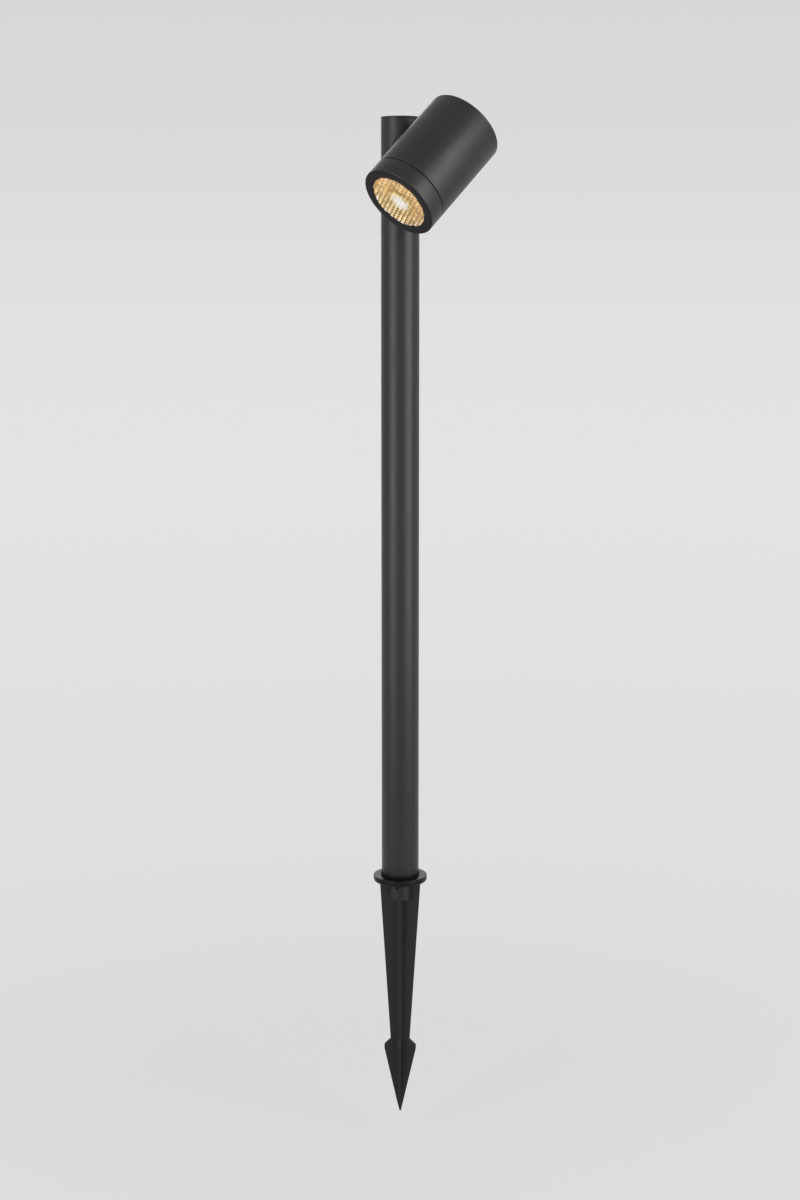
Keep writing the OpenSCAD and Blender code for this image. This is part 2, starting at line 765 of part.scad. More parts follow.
ground_spike();
spike_lock_screw();
base_flange();
base_gasket();
base_screws();
post_tube();
cable_grommet();
post_cap();
cap_ring();
pivot_saddle();
pivot_seal();
friction_washer();
pivot_pad();
head_housing();
front_ring();
ring_seal();
front_lens();
lens_gasket();
reflector();
led_chip();
led_board();
board_screws();
heat_sink();
driver_case();
driver_board();
driver_screws();
lamp_leads();
supply_leads();
pivot_tube();
pivot_nut();
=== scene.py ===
import json
import math

import bpy
from mathutils import Matrix, Vector


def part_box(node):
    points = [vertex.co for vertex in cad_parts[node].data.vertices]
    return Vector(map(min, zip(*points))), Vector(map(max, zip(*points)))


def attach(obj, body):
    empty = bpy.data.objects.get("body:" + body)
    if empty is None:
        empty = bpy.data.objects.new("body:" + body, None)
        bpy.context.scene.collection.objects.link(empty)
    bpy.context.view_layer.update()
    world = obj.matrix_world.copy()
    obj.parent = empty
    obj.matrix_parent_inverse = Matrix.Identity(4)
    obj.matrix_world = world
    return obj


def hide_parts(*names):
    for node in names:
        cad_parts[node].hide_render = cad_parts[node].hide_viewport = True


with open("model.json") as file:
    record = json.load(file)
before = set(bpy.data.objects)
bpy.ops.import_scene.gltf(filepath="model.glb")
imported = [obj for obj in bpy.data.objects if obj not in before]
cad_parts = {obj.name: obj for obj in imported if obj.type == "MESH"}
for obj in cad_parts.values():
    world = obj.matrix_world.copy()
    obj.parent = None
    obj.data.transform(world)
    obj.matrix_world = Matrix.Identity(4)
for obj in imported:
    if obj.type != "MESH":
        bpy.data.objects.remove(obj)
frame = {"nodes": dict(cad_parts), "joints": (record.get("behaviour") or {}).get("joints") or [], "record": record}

bl_info = {
    "name": "Garden Post Light",
    "version": (1, 0, 0),
    "blender": (4, 5, 0),
    "location": "View3D > Sidebar > Post Light",
    "description": "Models and finishes a garden post light round its packed frame",
    "category": "Object",
}

MM = 0.001
CENTRE = Vector((0.0, 0.0, 0.0))
UP = Vector((0.0, 0.0, 1.0))
SIDE = Vector((1.0, 0.0, 0.0))
WHITE = (1.0, 1.0, 1.0, 1.0)


# Measures taken from the frame

def points_from(node, start):
    """A node's points, as they lie from a point."""
    return [v.co - start for v in frame["nodes"][node].data.vertices]


def reach(node, start, direction):
    """The least and the most that a node's points lie along an axis."""
    along = [spot.dot(direction) for spot in points_from(node, start)]
    return min(along), max(along)


def off_axis(node, start, direction):
    """The least and the most distance of a node's points from an axis."""
    away = [(spot - spot.dot(direction) * direction).length for spot in points_from(node, start)]
    return min(away), max(away)


def middle(node):
    """The middle of a node's box."""
    low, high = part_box(node)
    return (low + high) / 2


PIVOT = Vector(next(j for j in frame["joints"] if j["name"] == "head_tilt")["pos_m"])
HEAD = Vector((middle("front_ring").x, 0.0, PIVOT.z))
BEAM = (middle("front_ring") - HEAD).normalized()
# Each axis is a point and a direction
POST_AXIS, HEAD_AXIS, PIVOT_AXIS = (CENTRE, UP), (HEAD, BEAM), (PIVOT, SIDE)
# Turns +Z towards +X
SIDEWAYS = Matrix.Rotation(math.pi / 2, 4, "Y")
# Turns +Z onto the tilt axis, from the post towards the head
ON_PIVOT = Matrix.Translation(PIVOT) @ SIDEWAYS
# Turns +Z into the beam and moves the origin onto the tilt axis, inside the head
IN_HEAD = Matrix.Translation(HEAD) @ Matrix.Rotation(math.atan2(-BEAM.y, BEAM.z), 4, "X")

POST_IN_R, POST_R = off_axis("post_tube", *POST_AXIS)
POST_LOW, POST_TOP = reach("post_tube", *POST_AXIS)
CAP_LOW, CAP_TOP = reach("post_cap", *POST_AXIS)
FLANGE_R = off_axis("base_flange", *POST_AXIS)[1]
FLANGE_TOP = reach("base_gasket", *POST_AXIS)[0]
STUB_LOW, SPIGOT_TOP = reach("base_flange", *POST_AXIS)
GASKET_IN_R, GASKET_R = off_axis("base_gasket", *POST_AXIS)
SPIKE_TIP = reach("ground_spike", *POST_AXIS)[0]
INLET_Z = middle("cable_grommet").z
SCREW_Z = middle("base_screws").z
LOCK_Z = middle("spike_lock_screw").z
OPENING_R, HEAD_R = off_axis("front_ring", *HEAD_AXIS)
BACK_Z, NECK_Z = reach("head_housing", *HEAD_AXIS)
SEAM_Z, FRONT_Z = reach("front_ring", *HEAD_AXIS)
SHOULDER_Z = reach("ring_seal", *HEAD_AXIS)[0]
SINK_TOP = reach("heat_sink", *HEAD_AXIS)[1]
LENS_BACK_Z, LENS_FRONT_Z = reach("front_lens", *HEAD_AXIS)
LENS_RIM_R = off_axis("front_lens", *HEAD_AXIS)[1]
BORE_R = off_axis("lens_gasket", *HEAD_AXIS)[0]
WASHER_X, BOSS_X = (x + PIVOT.x for x in reach("friction_washer", *PIVOT_AXIS))
WASHER_IN_R, WASHER_R = off_axis("friction_washer", *PIVOT_AXIS)
TUBE_R = off_axis("pivot_tube", *PIVOT_AXIS)[1]
SADDLE_R = off_axis("pivot_saddle", *PIVOT_AXIS)[1]

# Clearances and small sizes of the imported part, which its nodes' measures don't give
TURN_GAP = 0.06 * MM
SEAT_GAP = 0.05 * MM
SLIP_GAP = 0.15 * MM
GRUB_HOLE_R = 2.05 * MM
STUB_R = 6 * MM
LIP_Z = FRONT_Z - 2 * MM


# Settings

def length(title, about, size):
    """A size in metres that a user may change."""
    return bpy.props.FloatProperty(
        name=title, description=about, default=size, min=0.0, precision=5, subtype="DISTANCE", unit="LENGTH"
    )


def angle(title, about, degrees):
    """An angle that a user may change."""
    return bpy.props.FloatProperty(
        name=title, description=about, default=math.radians(degrees), subtype="ANGLE", unit="ROTATION"
    )


def colour(title, about, value):
    """A colour that a user may change."""
    return bpy.props.FloatVectorProperty(
        name=title, description=about, default=value, size=3, min=0.0, max=1.0, subtype="COLOR"
    )


def share(title, about, value, low=0.0, high=1.0):
    """A plain factor that a user may change."""
    return bpy.props.FloatProperty(name=title, description=about, default=value, min=low, max=high)


class PostLightEdges(bpy.types.PropertyGroup):
    """Rounding of the edges that the light catches."""

    tube: length("Tube edge", "Rounding of the post tube's ends", 0.3 * MM)
    cap: length("Cap edge", "Rounding of the cap's rim", 0.4 * MM)
    flange_low: length("Flange lower edge", "Rounding of the flange's lower edge", 1.8 * MM)
    flange_high: length("Flange upper edge", "Rounding of the flange's upper edge", 0.45 * MM)
    head_back: length("Head back edge", "Rounding of the head's back edge", 0.8 * MM)
    ring_front: length("Ring front edge", "Rounding of the front ring's outer edge", 0.7 * MM)
    seam: length("Seam edge", "Rounding of the two edges of the seam", 0.25 * MM)
    knuckle: length("Knuckle edge", "Rounding of the knuckle's edges", 0.6 * MM)
    spike: length("Spike edge", "Rounding of the spike's edges", 0.35 * MM)
    steps: bpy.props.IntProperty(
        name="Round steps", description="Faces round a turned piece", default=128, min=32, max=256
    )


class PostLightLens(bpy.types.PropertyGroup):
    """Facets of the lens and the colours that it glows with."""

    pitch: length("Facet pitch", "Distance between the middles of two facets", 3.7 * MM)
    rows_turn: angle("Rows' turn", "Turn of the rows of facets round the beam", 33.5)
    facet_h: length("Facet height", "Height of a facet", 0.5 * MM)
    centre: colour("Centre", "Colour of the middle, over the light chip", (0.78, 0.73, 0.68))
    cream: colour("Cream", "Colour of the halo and of the brightest facets", (0.80, 0.66, 0.37))
    deep_gold: colour("Deep gold", "Colour of the darker ring", (0.46, 0.29, 0.10))
    gold: colour("Gold", "Colour of the outer facets", (0.68, 0.46, 0.20))
    peach: colour("Peach", "Colour of single facets near the rim", (0.74, 0.42, 0.21))
    gap: colour("Gap", "Colour of the lines between facets", (0.13, 0.055, 0.010))
    # The rim colour is painted shade: the front ring's inner wall shading the edge of the lens
    rim: colour("Rim", "Colour of the dark rim outside the facets", (0.012, 0.010, 0.008))
    strength: share("Glow", "Strength of the glow", 1.0, 0.0, 10.0)


class PostLightFinish(bpy.types.PropertyGroup):
    """Colours and textures of the finishes."""

    coat: colour("Powder coat", "Colour of the powder coat", (0.0104, 0.0104, 0.0107))
    coat_rough: share("Coat roughness", "Roughness of the powder coat", 0.42)
    # Painted shade: the flange's coat is the post's powder coat made darker, because the flange lies in shade near
    # the ground
    flange: colour("Flange coat", "Colour of the flange's deeper black coat", (0.003, 0.003, 0.0031))
    peel: length("Peel size", "Size of the powder coat's ripples", 0.9 * MM)
    plastic: colour("Spike plastic", "Colour of the moulded spike", (0.008, 0.008, 0.0083))
    rubber: colour("Rubber", "Colour of the rubber parts", (0.004, 0.004, 0.004))
    nylon: colour("Nylon", "Colour of the nylon parts", (0.010, 0.010, 0.010))


class PostLightStage(bpy.types.PropertyGroup):
    """Camera, floor and lights."""

    camera_turn: angle("Camera turn", "Where the camera stands, round the post from the beam's side", 51.16)
    camera_aim: angle("Camera aim", "How far the camera aims to the left of the post's axis", 0.006)
    camera_pitch: angle("Camera pitch", "How far the camera looks down", 9.28)
    camera_distance: length("Camera distance", "Level distance from the camera to the post", 1.6065)
    camera_height: length("Camera height", "Height of the camera above the ground", 0.4943)
    focal_mm: share("Focal length", "Focal length in millimetres on a 36 mm long side", 61.09, 10.0, 300.0)
    backdrop: colour("Backdrop tint", "Tint of all that is behind the object", (1.0, 1.0, 1.0))
    ambient: share("Ambient", "Strength of the even light from all around", 0.4, 0.0, 5.0)
    left_power: share("Left light", "Power of the strip light on the left, in watts", 11.2, 0.0, 200.0)
    right_power: share("Right light", "Power of the strip light on the right, in watts", 13.5, 0.0, 200.0)
    back_power: share("Back light", "Power of the soft light behind, in watts", 8.0, 0.0, 200.0)
    floor_drop: length("Floor drop", "Depth of the floor below the spike's tip", 0.02)


class PostLightSettings(bpy.types.PropertyGroup):
    """All settings of the post light."""

    edges: bpy.props.PointerProperty(type=PostLightEdges, name="Edges", description="Edge rounding")
    lens: bpy.props.PointerProperty(type=PostLightLens, name="Lens", description="Facets and glow")
    finish: bpy.props.PointerProperty(type=PostLightFinish, name="Finish", description="Finishes")
    stage: bpy.props.PointerProperty(type=PostLightStage, name="Stage", description="Camera and lights")


# Modelling helpers

def deselect():
    """Leaves nothing selected, in object mode."""
    if bpy.context.object and bpy.context.object.mode != "OBJECT":
        bpy.ops.object.mode_set(mode="OBJECT")
    bpy.ops.object.select_all(action="DESELECT")


def activate(piece):
    """Makes one piece the only one selected."""
    deselect()
    piece.select_set(True)
    bpy.context.view_layer.objects.active = piece


def edit(kind="VERT", action="SELECT"):
    """Opens the active piece in edit mode, with all of it selected or nothing."""
    bpy.ops.object.mode_set(mode="EDIT")
    bpy.ops.mesh.select_mode(type=kind)
    bpy.ops.mesh.select_all(action=action)


def weld(distance):
    """Selects all in edit mode and merges the points that lie this close."""
    bpy.ops.mesh.select_all(action="SELECT")
    bpy.ops.mesh.remove_doubles(threshold=distance)


def face_outwards():
    """Turns the selected faces outwards and goes back to object mode."""
    bpy.ops.mesh.normals_make_consistent(inside=False)
    bpy.ops.object.mode_set(mode="OBJECT")


def corner_points(corners, segments):
    """Points of a closed outline whose corners are (radius, height) and may have a rounding."""
    points = []
    spots = [Vector((c[0], 0.0, c[1])) for c in corners]
    for i, (here, (_, _, *rounding)) in enumerate(zip(spots, corners)):
        if not any(rounding):
            points.append(here)
            continue
        before = (spots[i - 1] - here).normalized()
        after = (spots[(i + 1) % len(spots)] - here).normalized()
        half = before.angle(after) / 2
        centre = here + (before + after).normalized() * rounding[0] / math.sin(half)
        first = here + before * rounding[0] / math.tan(half) - centre
        last = here + after * rounding[0] / math.tan(half) - centre
        turn = first.angle(last) / segments
        axis = first.cross(last)
        points.extend(centre + Matrix.Rotation(turn * s, 3, axis) @ first for s in range(segments + 1))
    return points


def turned(corners, steps, segments=5):
    """A solid spun about Z from a closed outline, drawn point by point from its corners."""
    points = corner_points(corners, segments)
    deselect()
    bpy.ops.mesh.primitive_plane_add(size=MM, location=CENTRE)
    edit()
    bpy.ops.mesh.merge(type="CENTER")
    bpy.ops.transform.translate(value=points[0])
    for here, there in zip(points, points[1:] + points[:1]):
        bpy.ops.mesh.extrude_region_move(TRANSFORM_OT_translate={"value": there - here})
    weld(0.001 * MM)
    bpy.ops.mesh.spin(steps=steps, angle=math.tau, center=CENTRE, axis=UP)
    weld(0.002 * MM)
    face_outwards()
    return bpy.context.object


def place(piece, matrix):
    """Moves a piece and puts its place into its mesh."""
    activate(piece)
    piece.matrix_world = matrix
    bpy.ops.object.transform_apply(location=True, rotation=True, scale=True)
    return piece


def combine(piece, tool, operation):
    """Joins, cuts or trims a piece with another, which is used up."""
    activate(piece)
    bpy.ops.object.modifier_add(type="BOOLEAN")
    modifier = piece.modifiers[-1]
    modifier.operation = operation
    modifier.solver = "EXACT"
    modifier.object = tool
    bpy.ops.object.modifier_apply(modifier=modifier.name)
    bpy.data.objects.remove(tool)
    return piece


def rod(radius, low, high, steps=48):
    """A plain rod about Z, used to cut and to join."""
    deselect()
    bpy.ops.mesh.primitive_cylinder_add(
        vertices=steps, radius=radius, depth=high - low, location=(0.0, 0.0, (low + high) / 2)
    )
    return place(bpy.context.object, bpy.context.object.matrix_world.copy())


def drill(piece, radius, turn, height, steps=48):
    """Drills a level hole outwards from the post's axis, in a direction and at a height."""
    way = Matrix.Translation((0.0, 0.0, height)) @ Matrix.Rotation(turn, 4, "Z") @ SIDEWAYS
    combine(piece, place(rod(radius, 0.0, 2 * POST_R, steps), way), "DIFFERENCE")


def drill_screws(piece):
    """Drills the holes of the base's two screws."""
    for turn in (math.pi / 2, math.pi):
        drill(piece, GRUB_HOLE_R, turn, SCREW_Z)


def bevel_sharp(piece, width, segments, keep=None):
    """Rounds the sharp edges of a piece, or those that keep says."""
    activate(piece)
    edit("EDGE", "DESELECT")
    bpy.ops.mesh.edges_select_sharp(sharpness=math.radians(30.0))
    if keep:
        bpy.ops.object.mode_set(mode="OBJECT")
        mesh = piece.data
        for edge in mesh.edges:
            ends = [mesh.vertices[i].co for i in edge.vertices]
            edge.select = edge.select and keep((ends[0] + ends[1]) / 2)
        bpy.ops.object.mode_set(mode="EDIT")
    bpy.ops.mesh.bevel(offset=width, segments=segments, profile=0.5, clamp_overlap=True)
    weld(0.001 * MM)
    bpy.ops.object.mode_set(mode="OBJECT")


def hand_over(piece, name, body, slot, *nodes, coat=None):
    """Names, smooths and coats a piece, and puts it on its body in place of its nodes."""
    activate(piece)
    bpy.ops.object.shade_smooth_by_angle(angle=math.radians(32.0))
    piece.name = name
    piece.data.name = name
    piece.data.materials.clear()
    piece.data.materials.append(finish(coat or slot))
    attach(piece, body)
    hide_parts(*nodes)


# Shader helpers

def rgba(value):
    """A colour with full alpha."""
    return (*value, 1.0)


class Nodes:
    """Adds shader nodes to a tree. What feeds them is a socket or a plain value."""

    def __init__(self, tree):
        self.tree = tree

    def feed(self, socket, value):
        """Links a socket, or sets it to a plain value."""
        if isinstance(value, bpy.types.NodeSocket):
            self.tree.links.new(value, socket)
        elif value is not None:
            socket.default_value = value

    def add(self, kind, fed=None, **settings):
        """A node with its settings, and with what its inputs are fed by name or number."""
        node = self.tree.nodes.new(f"ShaderNode{kind}")
        for name, value in settings.items():
            setattr(node, name, value)
        for key, value in (fed or {}).items():
            self.feed(node.inputs[key], value)
        return node

    def group(self, name, **fed):
        """The outputs of a node group that is fed by name, with _ for a space."""
        fed = {title.replace("_", " "): value for title, value in fed.items()}
        return self.add("Group", fed, node_tree=bpy.data.node_groups[name]).outputs

    def math(self, operation, *values):
        """The result of a Math node."""
        return self.add("Math", dict(enumerate(values)), operation=operation).outputs[0]

    def times(self, first, second):
        """A product."""
        return self.math("MULTIPLY", first, second)

    def plus(self, first, second):
        """A sum."""
        return self.math("ADD", first, second)

    def vector(self, operation, first, second=None, result="Vector"):
        """The result of a Vector Math node."""
        fed = {0: first, "Scale" if operation == "SCALE" else 1: second}
        return self.add("VectorMath", fed, operation=operation).outputs[result]

    def remap(self, value, low, high, new_low=0.0, new_high=1.0):
        """A value moved from one range to another, and kept inside it."""
        return self.add("MapRange", dict(enumerate((value, low, high, new_low, new_high)))).outputs[0]

    def noise(self, where, scale, detail=2.0, roughness=0.5):
        """A noise texture's value, mostly between 0.3 and 0.7."""
        fed = {"Vector": where, "Scale": scale, "Detail": detail, "Roughness": roughness}
        return self.add("TexNoise", fed).outputs["Fac"]

    def varied(self, low, high, where, scale, detail=2.0, roughness=0.5):
        """A value that wanders from low to high over a surface."""
        return self.remap(self.noise(where, scale, detail, roughness), 0.3, 0.7, low, high)

    def mix(self, factor, first, second, blend="MIX"):
        """Two colours mixed."""
        fed = {0: factor, 6: first, 7: second}
        return self.add("Mix", fed, data_type="RGBA", blend_type=blend).outputs[2]

    def ramp(self, value, stops):
        """A grey that follows (position, level) stops along a value."""
        node = self.add("ValToRGB", {0: value})
        elements = node.color_ramp.elements
        while len(elements) < len(stops):
            elements.new(0.5)
        for element, (position, level) in zip(elements, stops):
            element.position = position
            element.color = (level, level, level, 1.0)
        return node.outputs[0]

    def seen_from(self, matrix, where):
        """Object coordinates seen from a frame."""
        fed = {"Vector": where, "Location": matrix.to_translation(), "Rotation": matrix.to_euler()}
        return self.add("Mapping", fed, vector_type="TEXTURE").outputs[0]

    def bump(self, shader, height, strength, depth):
        """Feeds a height to the shader's normal."""
        node = self.add("Bump", {"Strength": strength, "Distance": depth, "Height": height})
        self.feed(shader["Normal"], node.outputs[0])

    def dress(self, shader, surface, strength, depth):
        """Feeds a group's colour, roughness and height to the shader."""
        self.feed(shader["Base Color"], surface["Color"])
        self.feed(shader["Roughness"], surface["Roughness"])
        self.bump(shader, surface["Height"], strength, depth)


def new_group(name, outputs, **inputs):
    """An empty node group, its inputs given by their defaults. Returns its nodes and both ends' sockets."""
    tree = bpy.data.node_groups.new(name, "ShaderNodeTree")
    for title, default in inputs.items():
        kind = "Vector" if default is None else "Color" if isinstance(default, tuple) else "Float"
        socket = tree.interface.new_socket(
            title.replace("_", " "), in_out="INPUT", socket_type=f"NodeSocket{kind}"
        )
        if default is not None:
            socket.default_value = default
    for title, kind in outputs.items():
        tree.interface.new_socket(title, in_out="OUTPUT", socket_type=f"NodeSocket{kind}")
    return Nodes(tree), tree.nodes.new("NodeGroupInput").outputs, tree.nodes.new("NodeGroupOutput").inputs


# What a group for a surface gives, and the colours of the lens's group
SURFACE = {"Color": "Color", "Roughness": "Float", "Height": "Float"}
LENS_COLOURS = ("Centre", "Cream", "Deep_Gold", "Gold", "Peach", "Gap", "Rim")


def edge_wear_and_highlight_group():
    """Mask of outer edges, where a coating is thinner and rubbed, and where a lighter colour is painted as an edge
    highlight.
    """
    nodes, given, out = new_group("Edge Wear And Highlight", {"Mask": "Float"}, Vector=None, Width=0.5 * MM, Breakup=300.0)
    soft = nodes.add("Bevel", {"Radius": given["Width"]}, samples=4).outputs[0]
    flat = nodes.add("NewGeometry").outputs["Normal"]
    edge = nodes.remap(nodes.vector("DOT_PRODUCT", soft, flat, "Value"), 0.99, 0.8)
    broken = nodes.remap(nodes.noise(given["Vector"], given["Breakup"]), 0.35, 0.62, 0.25, 1.0)
    nodes.feed(out["Mask"], nodes.times(edge, broken))


def powder_group():
    """Ripples, fine grain and slow tone changes of a powder coat."""
    nodes, given, out = new_group(
        "Powder Coat", SURFACE,
        Vector=None, Color=(0.04, 0.04, 0.04, 1.0), Roughness=0.42, Ripples=1100.0, Wear=0.0,
    )
    where = given["Vector"]
    grain = nodes.varied(0.9, 1.12, where, 5200.0, 1.0)
    tone = nodes.times(nodes.varied(0.93, 1.07, where, 18.0, 3.0), grain)
    toned = nodes.vector("SCALE", given["Color"], tone)
    # Where Wear is fed, the coat turns lighter grey: rubbed edges and a painted edge highlight
    nodes.feed(out["Color"], nodes.mix(given["Wear"], toned, (0.12, 0.12, 0.125, 1.0)))
    rough = nodes.plus(given["Roughness"], nodes.varied(-0.035, 0.035, where, 60.0, 3.0))
    nodes.feed(out["Roughness"], nodes.math("MULTIPLY_ADD", given["Wear"], -0.06, rough))
    ripples = nodes.noise(where, given["Ripples"], 2.0, 0.45)
    nodes.feed(out["Height"], nodes.math("MULTIPLY_ADD", grain, 0.12, ripples))


def moulded_group():
    """Fine spark-eroded grain and faint flow marks of a moulded plastic or rubber."""
    nodes, given, out = new_group(
        "Moulded Grain", SURFACE,
        Vector=None, Color=(0.02, 0.02, 0.02, 1.0), Roughness=0.5, Grain=2600.0, Rub=0.0,
    )
    where = given["Vector"]
    upright = nodes.vector("MULTIPLY", where, (1.0, 1.0, 0.18))
    toned = nodes.vector("SCALE", given["Color"], nodes.varied(0.86, 1.14, upright, 55.0, 4.0, 0.6))
    # Where Rub is fed, the surface turns lighter grey: rubbed edges and a painted edge highlight
    nodes.feed(out["Color"], nodes.mix(given["Rub"], toned, (0.085, 0.085, 0.087, 1.0)))
    nodes.feed(out["Roughness"], nodes.plus(given["Roughness"], nodes.varied(-0.05, 0.05, where, 140.0, 3.0)))
    nodes.feed(out["Height"], nodes.noise(where, given["Grain"], 2.0, 0.6))


def machined_group():
    """Fine turning or brushing lines across a bare metal."""
    nodes, given, out = new_group(
        "Machined Lines", SURFACE, Vector=None, Color=(0.7, 0.7, 0.7, 1.0), Roughness=0.3, Lines=4000.0
    )
    where = given["Vector"]
    lines = nodes.noise(nodes.vector("MULTIPLY", where, (0.03, 0.03, 1.0)), given["Lines"], 3.0, 0.7)
    nodes.feed(out["Color"], nodes.vector("SCALE", given["Color"], nodes.varied(0.9, 1.05, where, 90.0, 3.0)))
    nodes.feed(out["Roughness"], nodes.plus(given["Roughness"], nodes.remap(lines, 0.3, 0.7, -0.07, 0.09)))
    nodes.feed(out["Height"], lines)


def facet_group():
    """Glow of a honeycomb lens whose rows of facets run along X, strongest towards -X."""
    nodes, given, out = new_group(
        "Facet Glow", {"Color": "Color", "Clear": "Float"}, Vector=None, Pitch=3.7 * MM,
        Outer_Radius=24.15 * MM, **dict.fromkeys(LENS_COLOURS, (0.5, 0.4, 0.2, 1.0)),
    )
    centre, cream, deep_gold, gold, peach, gap, rim = (given[name.replace("_", " ")] for name in LENS_COLOURS)
    times, plus, vector, remap, mix = nodes.times, nodes.plus, nodes.vector, nodes.remap, nodes.mix
    flat = vector("MULTIPLY", given["Vector"], (1.0, 1.0, 0.0))
    radius = vector("LENGTH", flat, result="Value")
    fraction = nodes.math("DIVIDE", radius, given["Outer Radius"])
    # The nearest facet's middle, counted in pitches, out of two rectangular grids
    grid = vector("SCALE", flat, nodes.math("DIVIDE", 1.0, given["Pitch"]))
    size, half = (1.0, math.sqrt(3.0), 1.0), (0.5, math.sqrt(0.75), 0.0)
    first = vector("SNAP", vector("ADD", grid, half), size)
    second = vector("ADD", vector("SNAP", grid, size), half)
    nearer = nodes.math(
        "LESS_THAN", vector("DISTANCE", grid, second, "Value"), vector("DISTANCE", grid, first, "Value")
    )
    cell = vector("ADD", first, vector("SCALE", vector("SUBTRACT", second, first), nearer))
    inside = vector("SUBTRACT", grid, cell)

    def from_middle(degrees):
        """0 in the middle of a facet, 1 on its border in a direction."""
        way = (2 * math.cos(math.radians(degrees)), 2 * math.sin(math.radians(degrees)), 0.0)
        return nodes.math("ABSOLUTE", vector("DOT_PRODUCT", inside, way, "Value"))

    def random_cell(shift, low, high, along=1.0):
        """A random number for each facet, or for each row of facets where along is 0."""
        spot = vector("ADD", vector("MULTIPLY", cell, (along, 1.0, 1.0)), (0.1, 0.1, shift))
        white = nodes.add("TexWhiteNoise", {"Vector": spot}, noise_dimensions="3D")
        return remap(white.outputs["Value"], 0.0, 1.0, low, high)

    side, step = nodes.math("MAXIMUM", from_middle(60.0), from_middle(120.0)), from_middle(0.0)
    # How far a point lies towards the lit side, from 0 to 1, and nothing near the middle
    towards = vector("DOT_PRODUCT", flat, (-1.0, 0.0, 0.0), "Value")
    towards = nodes.math("DIVIDE", towards, nodes.math("MAXIMUM", radius, MM))
    lit = times(remap(towards, 0.0, 0.65), remap(fraction, 0.1, 0.35))
    # The chip's image lies a little off the axis, and each facet shifts what it shows
    chip = vector("SUBTRACT", flat, (0.5 * MM, -0.7 * MM, 0.0))
    near = nodes.math("DIVIDE", vector("LENGTH", chip, result="Value"), given["Outer Radius"])
    near = plus(plus(near, random_cell(0.5, -0.04, 0.04)), random_cell(5.5, -0.05, 0.05, 0.0))
    # From the middle out: white, cream, a darker ring, gold, and a little darker at the rim
    tone = mix(remap(near, 0.21, 0.30), centre, cream)
    tone = mix(remap(near, 0.29, 0.43), tone, deep_gold)
    tone = mix(remap(near, 0.48, 0.62), tone, gold)
    tone = mix(remap(near, 0.78, 0.98, 0.0, 0.5), tone, deep_gold)
    tone = mix(times(lit, 0.45), tone, cream)
    # Near the rim single facets are peach on the dark side, and ends of rows are white on the lit side
    warm = times(remap(towards, 0.1, -0.5), remap(fraction, 0.6, 0.85))
    tone = mix(times(warm, random_cell(2.5, -0.5, 1.0)), tone, peach)
    tips = times(remap(towards, 0.0, 0.7, 0.2, 1.0), remap(fraction, 0.78, 0.90))
    tone = mix(times(tips, random_cell(3.5, -0.3, 0.9, 0.0)), tone, centre)
    # Facets and rows differ in brightness, and each is brightest in its middle
    spread = remap(fraction, 0.2, 0.42, 0.3, 1.0)
    dome = nodes.math("MULTIPLY_ADD", times(step, step), -0.22, 0.12)
    dome = times(dome, remap(lit, 0.0, 1.0, 1.0, 0.3))
    bright = plus(random_cell(1.5, -0.30, 0.26), dome)
    bright = plus(random_cell(6.5, -0.12, 0.12, 0.0), bright)
    tone = vector("SCALE", tone, nodes.math("MULTIPLY_ADD", bright, spread, 1.0))
    # Lines between rows, and between the facets of a row
    side_line = times(remap(side, 0.55, 0.92), remap(lit, 0.0, 1.0, 0.62, 1.0))
    step_line = times(remap(step, 0.5, 0.95), remap(lit, 0.0, 1.0, 0.62, 0.10))
    line = nodes.math("MAXIMUM", side_line, times(step_line, random_cell(7.5, 0.3, 1.2)))
    line = times(line, random_cell(8.5, 0.75, 1.25, 0.0))
    line = times(line, remap(near, 0.16, 0.36, 0.25, 1.0))
    tone = mix(line, tone, gap)
    # Painted shade: the glow's outer edge turns to the rim colour, where the ring's inner wall shades the lens
    edge = plus(fraction, random_cell(4.5, -0.02, 0.012))
    nodes.feed(out["Color"], mix(remap(edge, 0.915, 0.945), tone, rim))
    nodes.feed(out["Clear"], nodes.math("SUBTRACT", 1.0, line))


# Finishes

def finish(name):
    """A finish by its name: its slot's, or that of the flange's darker shaded coat, the ring's face or the floor.
    """
    return bpy.data.materials[f"{name}_finish"]


def new_finish(name):
    """A material's nodes, the inputs of its shader, and Object coordinates to place textures by."""
    material = bpy.data.materials.new(f"{name}_finish")
    material.use_nodes = True
    nodes = Nodes(material.node_tree)
    shader = next(n for n in material.node_tree.nodes if n.type == "BSDF_PRINCIPLED")
    return nodes, shader.inputs, nodes.add("TexCoord").outputs["Object"]


def coated(name, tone, roughness, peel, gloss):
    """Powder-coated metal."""
    nodes, shader, where = new_finish(name)
    # Edges are made lighter: wear, and a painted edge highlight
    wear_and_highlight = nodes.group("Edge Wear And Highlight", Vector=where, Width=0.35 * MM)["Mask"]
    surface = nodes.group(
        "Powder Coat", Vector=where, Color=rgba(tone), Roughness=roughness, Ripples=1.0 / peel,
        Wear=nodes.times(wear_and_highlight, 0.3),
    )
    nodes.dress(shader, surface, 0.1, 0.06 * MM)
    shader["Specular IOR Level"].default_value = gloss


def moulded(name, tone, roughness, grain, depth, gloss, rub=0.0):
    """Moulded plastic or rubber."""
    nodes, shader, where = new_finish(name)
    # Edges are made lighter: wear, and a painted edge highlight
    wear_and_highlight = nodes.group("Edge Wear And Highlight", Vector=where, Width=0.5 * MM, Breakup=420.0)["Mask"]
    surface = nodes.group(
        "Moulded Grain", Vector=where, Color=rgba(tone), Roughness=roughness, Grain=1.0 / grain,
        Rub=nodes.times(wear_and_highlight, rub),
    )
    nodes.dress(shader, surface, 0.3, depth)
    shader["Specular IOR Level"].default_value = gloss


